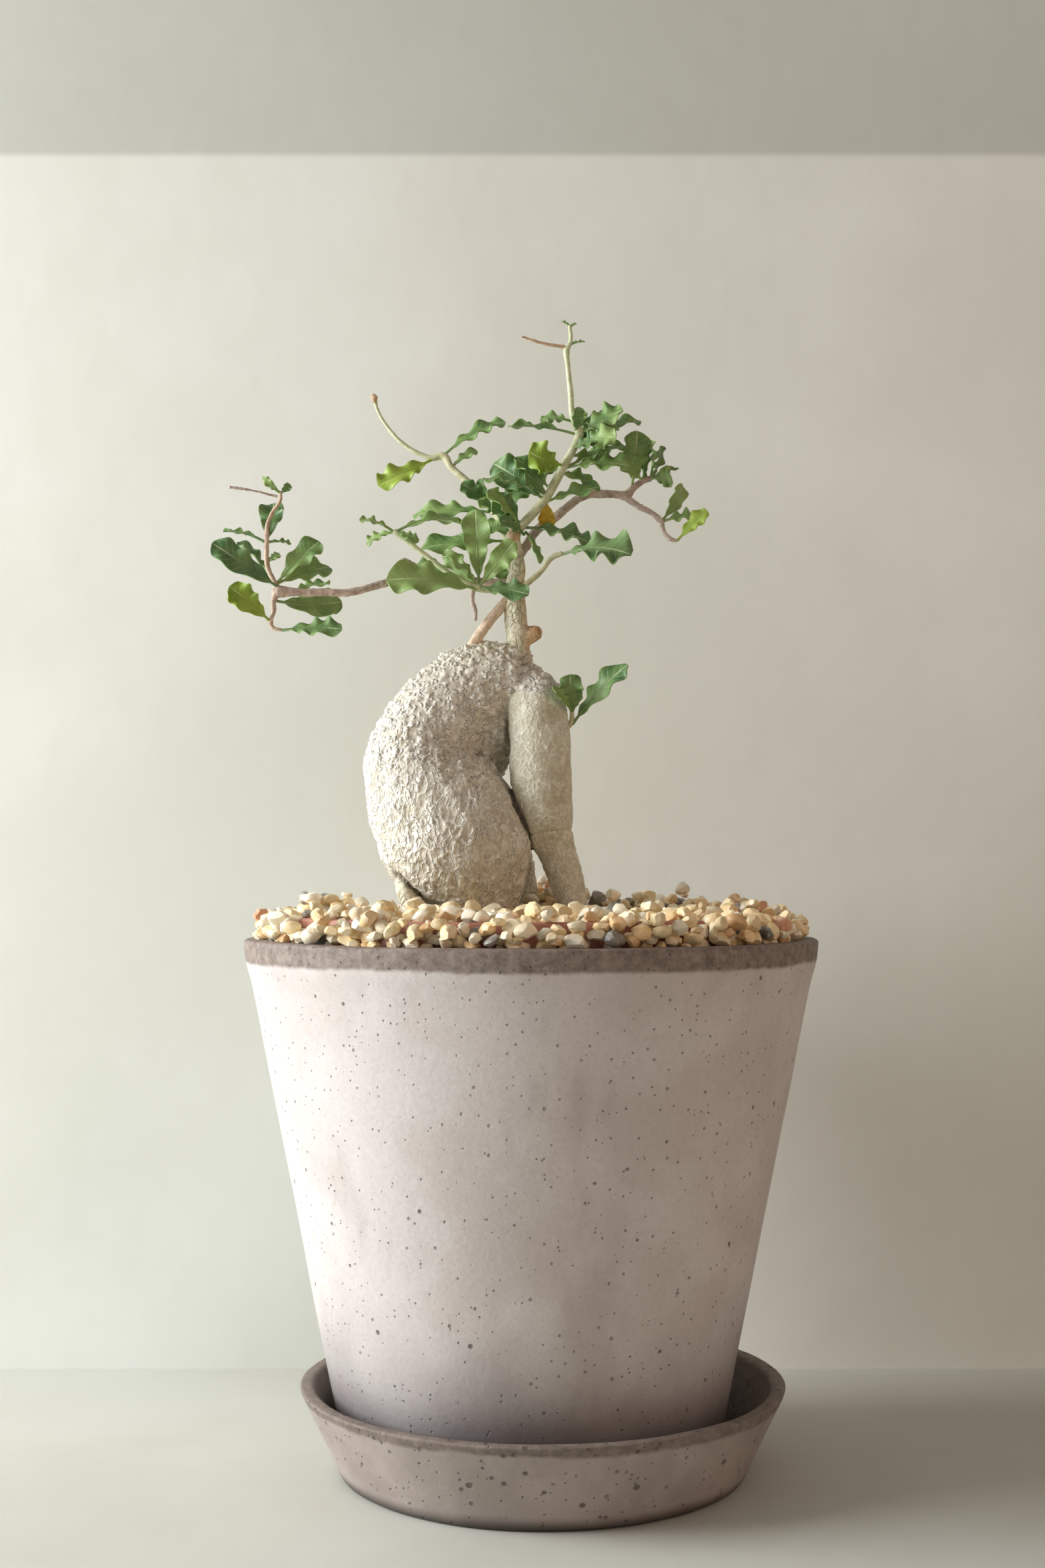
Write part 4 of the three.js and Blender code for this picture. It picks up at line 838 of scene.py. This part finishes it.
# budding leaves too small for a node of their own: base, tip, width, way the face looks
smallLeaves = {
    "vine_buds": [
        ((-73, -8, 109.6), (-66.5, -6, 109.5), 2.5, (0, -0.4, 1)),
        ((-73, -8, 104), (-69.4, -8, 106.2), 2.5, (0, -0.8, 0.5)),
        ((-69.4, -7, 123.2), (-73.9, -9, 127.4), 2.4, (-0.5, -0.8, 0.2)),
        ((-69.4, -7, 123.2), (-66.6, -7, 125.6), 2.4, (0.5, -0.8, 0.3)),
    ],
    "twig_buds": [
        ((-6.5, 3.2, 100), (-9.1, 4, 106), 3.8, (0, -1, 0.2)),
        ((-37.8, -7, 112.7), (-31.1, -9, 109.4), 3.4, (0, -0.7, 0.6)),
        ((-37.8, -7, 112.7), (-45.8, -5, 109.6), 4, (0, -0.6, 0.7)),
        ((-10.8, 5, 120.6), (-14.5, 2, 129), 2.8, (-0.6, -0.8, 0.2)),
    ],
    "crown_fill": [
        ((3.8, -2, 122.4), (-6.5, 7, 129.5), 6.5, (0.2, -0.9, 0.3)),
        ((-10.8, 5, 120.6), (-0.6, 3, 126.6), 6.5, (0.1, -0.8, 0.5)),
        ((-3, -1, 115), (-12, -7, 124), 5.5, (0.3, -0.7, 0.6)),
        ((9.2, -3, 131.6), (-1, 3, 128), 6.5, (0, -0.8, 0.5)),
        ((12.6, -3, 138.2), (22, 4, 141.5), 6.5, (-0.2, -0.8, 0.5)),
        ((13, -3, 141), (24.5, -5, 141.3), 6.5, (0, -0.6, 0.8)),
        ((-12, 5, 122), (-19.5, 1, 127.5), 5, (-0.3, -0.8, 0.4)),
        ((-7, 2, 99), (-9.4, 3, 105), 4.6, (0, -1, 0.1)),
        ((-14.6, -4, 97.6), (-24.5, -9, 105.8), 6, (0.2, -0.5, 0.8)),
        ((12.4, -3, 141), (13, -9, 146.6), 3.6, (0.2, -1, 0.1)),
        ((10.6, -3, 134.5), (22, 3, 133.6), 7, (0, -0.8, 0.5)),
        ((8, -3, 129.6), (17.6, 3, 127.4), 6.4, (0, -0.8, 0.5)),
        ((31.7, 7, 129.2), (24.6, 3, 135.6), 6, (-0.2, -0.8, 0.4)),
        ((34.3, 7, 130.1), (36.6, 2, 138.2), 5, (0.7, -0.6, 0.2)),
        ((33, 7, 129.8), (28.6, 9, 141.6), 6, (0.3, -0.8, 0.4)),
        ((-4.6, 1, 112.6), (-13, 4, 116.4), 5.5, (0.1, -0.8, 0.5)),
        ((4.4, -2, 123), (-1.6, -7, 129), 5.5, (0.3, -0.9, 0.2)),
        ((-22.6, 7, 133.2), (-15.4, 9, 138.4), 3.4, (0, -0.6, 0.7)),
        ((-21.5, -5, 100.8), (-32, -2, 104), 5.5, (0, -0.8, 0.5)),
        ((11.4, -3, 136.4), (19.6, -8, 138), 6.2, (0.1, -0.8, 0.5)),
        ((12.8, -3, 139.6), (20.8, 6, 145.2), 5.4, (-0.1, -0.8, 0.5)),
        ((5.4, -2, 125.2), (-4.6, -5, 133.4), 5.8, (0.1, -0.8, 0.5)),
        ((-8.4, 4, 118.4), (-14.8, -2, 121.8), 5.2, (-0.1, -0.8, 0.5)),
        ((-1.8, -1, 112.8), (-8.8, -8, 115.8), 5, (0.2, -0.8, 0.4)),
    ],
    "crown_buds": [
        ((-2.8, -1, 114.8), (-9, 3, 121), 5, (0, -0.9, 0.4)),
        ((12, -3, 144), (2.6, -2, 144.8), 4.6, (0, -0.7, 0.7)),
        ((13, -3, 142.4), (14.8, -3, 147), 2.8, (0.3, -0.9, 0.3)),
        ((13, -3, 142.4), (21, -1, 146.5), 3.6, (-0.3, -0.8, 0.4)),
        ((11, -3, 170.6), (8.6, -3, 172), 1, (0, -0.6, 0.8)),
        ((11, -3, 170.6), (12.6, -3, 171.4), 0.9, (0, -0.6, 0.8)),
        ((10.9, -3, 165.6), (15, -3, 166.3), 1.2, (0, -0.6, 0.8)),
        ((-1.4, -1, 113.6), (2.6, -6, 104), 2.6, (0.5, -0.8, 0.3)),
    ],
    "branch_buds": [
        ((31.7, 7, 129.2), (32.3, 6, 141), 3.2, (0.6, -0.7, 0.2)),
        ((34.3, 7, 130.1), (41.8, 5, 132.6), 2.2, (0, -0.5, 0.8)),
    ],
    "sprout_buds": [
        ((11.4, -6.5, 62.6), (6, -14, 69), 2.8, (0, -0.9, 0.4)),
        ((11.4, -6.5, 62.6), (13.6, -7, 69), 2.4, (0.4, -0.9, 0.2)),
    ],
}
leafForm = {
    "stalkShare": 0.11, "stalk": 0.35, "fold": 16, "waves": 3.1, "wave": 0.155, "scallop": 0.17,
    "thick": 0.26, "lengthCuts": 48, "widthCuts": 14,
}


def leafBase(points, index, tip):
    # the stalk starts at the stem's surface, on the side the leaf grows towards
    here = Vector(points[index][:3])
    before = Vector(points[max(0, index - 1)][:3])
    after = Vector(points[min(len(points) - 1, index + 1)][:3])
    along = (after - before).normalized()
    away = (tip - here).normalized()
    if index < len(points) - 1:
        away = (away - along * away.dot(along)).normalized()
    return here + away * points[index][3] * 0.6


bluishLeaves = ("green_leaf_3", "green_leaf_6", "green_leaf_7")


def growLeaf(name, base, tip, width, look, arch, sweep, phase):
    deselectAll()
    cuts = (leafForm["lengthCuts"], leafForm["widthCuts"])
    bpy.ops.mesh.primitive_grid_add(x_subdivisions=cuts[0], y_subdivisions=cuts[1], size=1)
    leaf = bpy.context.object
    leaf.name = leaf.data.name = name
    along = tip - base
    length = along.length
    along.normalize()
    face = Vector(look)
    out = (face - along * face.dot(along)).normalized()
    side = out.cross(along)
    fold = math.radians(leafForm["fold"])
    twist = 0.25 * math.sin(phase * 2.3)

    def middle(u):
        hump = 4 * u * (1 - u) * length
        return base + along * length * u + side * sweep * hump + out * arch * hump

    for vertex in leaf.data.vertices:
        u, v = vertex.co.x + 0.5, vertex.co.y * 2
        blade = max(0, (u - leafForm["stalkShare"]) / (1 - leafForm["stalkShare"]))
        shape = blade ** 0.75 * math.sqrt(max(0, 1 - blade ** 3.5)) / 0.647
        start = phase + (2.4 if v < 0 else 0)
        turns = leafForm["waves"] * (1 + 0.15 * math.sin(phase * 3.1))
        bend = 2 * math.pi * turns * (u + 0.05 * math.sin(6 * u + start))
        swell = math.sin(bend + start)
        # broad round lobes with narrow notches between them
        lobe = math.sqrt(0.04 + math.cos((bend + start) / 2) ** 2) - 0.72
        half = max(leafForm["stalk"], width / 2 * shape * (1 + leafForm["scallop"] * lobe))
        ripple = leafForm["wave"] * width * min(1, 1.3 * shape) * abs(v) ** 2 * swell
        rise = (math.sqrt(v * v + 0.02) - 0.14) * shape * half * math.sin(fold) + ripple
        turn = twist * (u - 0.3)
        across = side * math.cos(turn) + out * math.sin(turn)
        up = out * math.cos(turn) - side * math.sin(turn)
        place = middle(u) + across * half * v * math.cos(fold) + up * rise
        vertex.co = plantOrigin + place * mm
    applyModifier(leaf, "SOLIDIFY", thickness=leafForm["thick"] * mm, offset=-1, material_offset=1)
    # midrib and stalk as one tapering cord under the blade
    under = out * -leafForm["thick"]
    rib = [(*(middle(step / 8) + under * 0.6), 0.42 - 0.32 * step / 8) for step in range(9)]
    whole = joinPieces([leaf, thinLimb(rib, name)], name)
    tint = 0 if name in bluishLeaves else (phase * 0.618) % 1
    writeValues(whole, "tint", [tint] * len(whole.data.vertices))
    return whole


def thinLimb(points, name):
    cord = drawLimb(points, name)
    cord.data.polygons.foreach_set("material_index", [2] * len(cord.data.polygons))
    uv = cord.data.uv_layers.active
    if uv:
        uv.name = "UVMap"
    return cord


def leafMaterial(name, shades, back):
    material, tree, shader = newMaterial(name, Specular_IOR_Level=0.45 if not back else 0.3)
    place = addNode(tree, "TexCoord")
    spot = addNode(tree, "SeparateXYZ", {0: place.outputs["UV"]})
    along, across = spot.outputs["X"], spot.outputs["Y"]
    offCentre = calc(tree, "ABSOLUTE", calc(tree, "SUBTRACT", across, 0.5))
    body = noiseOf(tree, place.outputs["Object"], 2.6, 3, 0.6)
    broad = noiseOf(tree, place.outputs["Object"], 14, 2, 0.5)
    blade = ramp(tree, body, [(0.34, paint(*shades["dark"])), (0.66, paint(*shades["mid"]))])
    blade = blend(tree, span(tree, broad, 0.4, 0.65, 0, 0.6), blade, paint(*shades["light"]))
    # some leaves paler, some darker and bluer
    tint = valueOf(tree, "tint")
    blade = blend(tree, span(tree, tint, 0.55, 1, 0, 0.55), blade, paint(*shades["light"]))
    blade = blend(tree, span(tree, tint, 0.45, 0, 0, 0.45), blade, paint(*shades["shade"]))
    # side veins run out and forward from the midrib
    slant = calc(tree, "MULTIPLY_ADD", offCentre, -3.2, calc(tree, "MULTIPLY", along, 11.0))
    wave = calc(tree, "ABSOLUTE", calc(tree, "SUBTRACT", calc(tree, "FRACT", slant), 0.5))
    veins = span(tree, wave, 0, 0.09, 0.32, 0)
    midrib = span(tree, offCentre, 0.012, 0.045, 0.85, 0)
    blade = blend(tree, veins, blade, paint(*shades["vein"]))
    blade = blend(tree, midrib, blade, paint(*shades["vein"]))
    margin = span(tree, offCentre, 0.455, 0.5, 0, 0.35)
    blade = blend(tree, margin, blade, paint(*shades["light"]))
    tree.links.new(blade, shader.inputs["Base Color"])
    tree.links.new(span(tree, body, 0.3, 0.7, 0.38, 0.55), shader.inputs["Roughness"])
    bumpOn(tree, shader, [(body, 0.06), (veins, -0.12), (midrib, -0.15 if not back else 0.15)])
    return material


leafShades = {
    "leaf": {
        "dark": (84, 120, 66), "mid": (124, 158, 86), "light": (160, 186, 112), "vein": (206, 220, 166),
        "shade": (62, 104, 76),
    },
    "leafBack": {
        "dark": (150, 176, 108), "mid": (172, 194, 128), "light": (186, 204, 142), "vein": (212, 222, 172),
        "shade": (128, 160, 112),
    },
    "young": {
        "dark": (122, 152, 44), "mid": (150, 178, 60), "light": (174, 196, 84), "vein": (204, 216, 134),
        "shade": (112, 146, 40),
    },
    "youngBack": {
        "dark": (144, 168, 84), "mid": (166, 188, 102), "light": (182, 200, 120), "vein": (206, 218, 148),
        "shade": (136, 162, 78),
    },
    "spent": {
        "dark": (178, 132, 16), "mid": (206, 166, 28), "light": (214, 186, 60), "vein": (222, 200, 96),
        "shade": (150, 120, 20),
    },
}
leafTop = leafMaterial("leaf_top", leafShades["leaf"], False)
leafUnder = leafMaterial("leaf_under", leafShades["leafBack"], True)
youngTop = leafMaterial("young_top", leafShades["young"], False)
youngUnder = leafMaterial("young_under", leafShades["youngBack"], True)
spentTop = leafMaterial("spent_top", leafShades["spent"], False)

for index, (name, values) in enumerate(leaves.items()):
    stem, limb, point, tip, width, look, arch, sweep = values
    tip = Vector(tip)
    base = leafBase(stems[stem][0][limb], point, tip)
    leaf = growLeaf(name + "_blade", base, tip, width, look, arch, sweep, index * 1.7)
    smoothShade(leaf, 60)
    if name == "spent_leaf":
        finishPiece(leaf, "spent_leaf", [name], spentTop, spentTop, spentTop)
    elif name in youngLeaves:
        finishPiece(leaf, "young_leaf", [name], youngTop, youngUnder, youngUnder)
    else:
        finishPiece(leaf, "leaf", [name], leafTop, leafUnder, leafUnder)

for group, buds in smallLeaves.items():
    grown = []
    for index, (base, tip, width, look) in enumerate(buds):
        grown.append(growLeaf(group, Vector(base), Vector(tip), width, look, 0.08, 0, index * 2.1 + 0.6))
    cluster = joinPieces(grown, group)
    smoothShade(cluster, 60)
    finishPiece(cluster, "leaf", [], leafTop, leafUnder, leafUnder)
print("leaves grown")

# ---- gravel ----
gravelLook = {
    "shapes": 12, "smallest": 1.5, "largest": 3, "bedStones": 980, "ringStones": 400, "rimStones": 66,
    "bedReach": 67.4, "ringInner": 68, "ringOuter": 76.4, "tries": 6,
    # heaps on the bed: centre, spread and number of stones
    "heaps": [(-57, -15, 6, 15), (4, 21, 6, 40), (40, 22, 11, 40), (54, -16, 8, 12), (-34, -44, 9, 12)],
}
draw = random.Random(41)


def stoneShape(number):
    # a pebble: a ball, flattened, lumpy and with a few broken faces
    deselectAll()
    bpy.ops.mesh.primitive_ico_sphere_add(subdivisions=2, radius=1)
    stone = bpy.context.object
    bpy.ops.object.mode_set(mode="EDIT")
    for _ in range(9):
        facing = Vector((draw.gauss(0, 1), draw.gauss(0, 1), draw.gauss(0, 1))).normalized()
        bpy.ops.mesh.select_all(action="SELECT")
        bpy.ops.mesh.bisect(
            plane_co=facing * draw.uniform(0.6, 0.86), plane_no=facing, use_fill=True, clear_outer=True
        )
    bpy.ops.mesh.select_all(action="SELECT")
    bpy.ops.mesh.remove_doubles(threshold=0.1)
    bpy.ops.object.mode_set(mode="OBJECT")
    squash = Vector((1.12, draw.uniform(0.78, 1), draw.uniform(0.6, 0.85)))
    for vertex in stone.data.vertices:
        lump = 1 + 0.22 * noise.noise(vertex.co * 1.1 + Vector((number * 5, 0, 0)))
        vertex.co = vertex.co * squash * lump
    stone.name = f"stone_{number}"
    return stone


stones = [stoneShape(number) for number in range(gravelLook["shapes"])]


def moundHeight(x, y):
    # the bed under the stones, in millimetres above the pot's rim: heaped at the back right
    heap = 8 * math.exp(-((x - 4) ** 2 + (y - 22) ** 2) / 260)
    heap += 4.2 * math.exp(-((x - 38) ** 2 + (y - 22) ** 2) / 900)
    heap += 3 * math.exp(-((x - 56) ** 2 + (y + 14) ** 2) / 200)
    heap += 3 * math.exp(-((x + 60) ** 2 + (y + 18) ** 2) / 60)
    heap += 0.7 * smoothStep(-24, -50, y)
    dip = 4.4 * smoothStep(4, -14, x) * smoothStep(0, 14, y)
    level = 0.3 + heap - dip + 0.8 * noise.noise(Vector((x / 14, y / 14, 2)))
    onRim = smoothStep(65.6, 66.6, math.hypot(x, y))
    return max(level, onRim * (linerTop - potHigh.z / mm - 0.2))


class StonePile:
    # stones settle one by one on what lies under them
    def __init__(self, floor):
        self.floor, self.cells, self.stones = floor, {}, []

    def restHeight(self, x, y, radius):
        level = self.floor(x, y) + radius * 0.6
        for i in range(int(x // 5) - 1, int(x // 5) + 2):
            for j in range(int(y // 5) - 1, int(y // 5) + 2):
                for sx, sy, sz, sr in self.cells.get((i, j), ()):
                    reach = (radius + sr) * 0.86
                    gap = (x - sx) ** 2 + (y - sy) ** 2
                    if gap < reach * reach:
                        level = max(level, sz + math.sqrt(reach * reach - gap) * 0.8)
        return level

    def blocked(self, x, y, z, radius):
        centre = plantOrigin + Vector((x, y, z)) * mm
        return limbGaps(centre, caudexTrees)[0][0] < radius * mm * 0.75

    def drop(self, spots, radius):
        best = None
        for x, y in spots:
            z = self.restHeight(x, y, radius)
            if (best is None or z < best[2]) and not self.blocked(x, y, z, radius):
                best = (x, y, z, radius)
        if best:
            self.stones.append(best)
            self.cells.setdefault((int(best[0] // 5), int(best[1] // 5)), []).append(best)


def layStones(pile, name, nodes, material):
    bed = bmesh.new()
    tones, lights = [], []
    for x, y, z, radius in pile.stones:
        shape = draw.choice(stones).data.copy()
        turn = Matrix.Rotation(draw.uniform(0, 6.283), 4, "Z") @ Matrix.Rotation(draw.gauss(0, 0.5), 4, "X")
        turn = turn @ Matrix.Rotation(draw.gauss(0, 0.35), 4, "Y") @ Matrix.Scale(radius * mm * 1.08, 4)
        shape.transform(Matrix.Translation(plantOrigin + Vector((x, y, z)) * mm) @ turn)
        bed.from_mesh(shape)
        tones += [draw.random()] * len(shape.vertices)
        lights += [draw.random()] * len(shape.vertices)
        bpy.data.meshes.remove(shape)
    mesh = bpy.data.meshes.new(name)
    bed.to_mesh(mesh)
    bed.free()
    piece = bpy.data.objects.new(name, mesh)
    bpy.context.collection.objects.link(piece)
    writeValues(piece, "tone", tones)
    writeValues(piece, "light", lights)
    smoothShade(piece, 32)
    finishPiece(piece, "gravel", nodes, material)
    print(name, len(pile.stones), "stones,", len(mesh.polygons), "faces")


pebble, tree, shader = newMaterial("pebble", Specular_IOR_Level=0.5)
place = addNode(tree, "TexCoord").outputs["Object"]
tone = valueOf(tree, "tone")
kinds = ramp(tree, tone, [
    (0, paint(253, 232, 184)), (0.22, paint(255, 240, 206)), (0.42, paint(255, 246, 224)),
    (0.56, paint(250, 226, 178)), (0.68, paint(252, 242, 216)), (0.74, paint(246, 212, 158)),
    (0.86, paint(234, 192, 138)), (0.91, paint(214, 200, 178)), (0.94, paint(160, 156, 148)),
    (0.96, paint(116, 116, 112)), (0.975, paint(216, 164, 132)), (0.99, paint(186, 152, 116)),
], steps=True)
cloudy = noiseOf(tree, place, 1.9, 4, 0.65)
kinds = blend(tree, span(tree, cloudy, 0.42, 0.7, 0, 0.3), kinds, paint(214, 176, 126), "MULTIPLY")
kinds = blend(tree, span(tree, cloudy, 0.5, 0.3, 0, 0.35), kinds, paint(250, 244, 230))
lightness = span(tree, valueOf(tree, "light"), 0, 1, 0.8, 1.05)
bright = addNode(tree, "CombineColor", {0: lightness, 1: lightness, 2: lightness}).outputs[0]
kinds = blend(tree, 1.0, kinds, bright, "MULTIPLY")
tree.links.new(kinds, shader.inputs["Base Color"])
tree.links.new(span(tree, cloudy, 0.3, 0.7, 0.3, 0.6), shader.inputs["Roughness"])
bumpOn(tree, shader, [(cloudy, 0.18), (noiseOf(tree, place, 0.5, 2, 0.6), 0.04)])

bedPile = StonePile(moundHeight)
for _ in range(gravelLook["bedStones"]):
    radius = draw.uniform(gravelLook["smallest"], gravelLook["largest"])
    reach = gravelLook["bedReach"] - radius
    spots = []
    for _ in range(gravelLook["tries"]):
        angle, far = draw.uniform(0, 2 * math.pi), reach * math.sqrt(draw.random())
        spots.append((far * math.cos(angle), far * math.sin(angle)))
    bedPile.drop(spots, radius)
# stones lying over the liner's rim, everywhere but at the back left
for _ in range(gravelLook["rimStones"]):
    spots = []
    for _ in range(gravelLook["tries"]):
        angle = math.radians(draw.uniform(-186, 66))
        far = draw.uniform(65.5, 69)
        spots.append((far * math.cos(angle), far * math.sin(angle)))
    bedPile.drop(spots, draw.uniform(gravelLook["smallest"], gravelLook["largest"] * 0.75))
for x, y, spread, count in gravelLook["heaps"]:
    for _ in range(count):
        spots = [(draw.gauss(x, spread), draw.gauss(y, spread)) for _ in range(3)]
        spots = [spot for spot in spots if math.hypot(*spot) < 64.5]
        if spots:
            bedPile.drop(spots, draw.uniform(gravelLook["smallest"], gravelLook["largest"] * 0.9))
layStones(bedPile, "bed_stones", ["gravel_bed"], pebble)



def ringFloor(x, y):
    # gap, pot rim and liner rim; the front stones lean up against the liner
    far = math.hypot(x, y)
    if far < 70.2:
        return linerTop - potHigh.z / mm if y < 10 or x > 0 else 30
    return -1.2 if far < 73.2 else 0.1 + max(0, far - 74.6)


ringPile = StonePile(ringFloor)
for _ in range(gravelLook["ringStones"]):
    radius = draw.uniform(gravelLook["smallest"], gravelLook["largest"] * 0.88)
    spots = []
    for _ in range(gravelLook["tries"]):
        angle = draw.uniform(0, 2 * math.pi)
        far = draw.uniform(gravelLook["ringInner"] + radius * 0.6, gravelLook["ringOuter"] - radius * 0.4)
        spots.append((far * math.cos(angle), far * math.sin(angle)))
    ringPile.drop(spots, radius)
layStones(ringPile, "ring_stones", ["gravel_ring"], pebble)
for stone in stones:
    bpy.data.objects.remove(stone)
print("gravel laid")
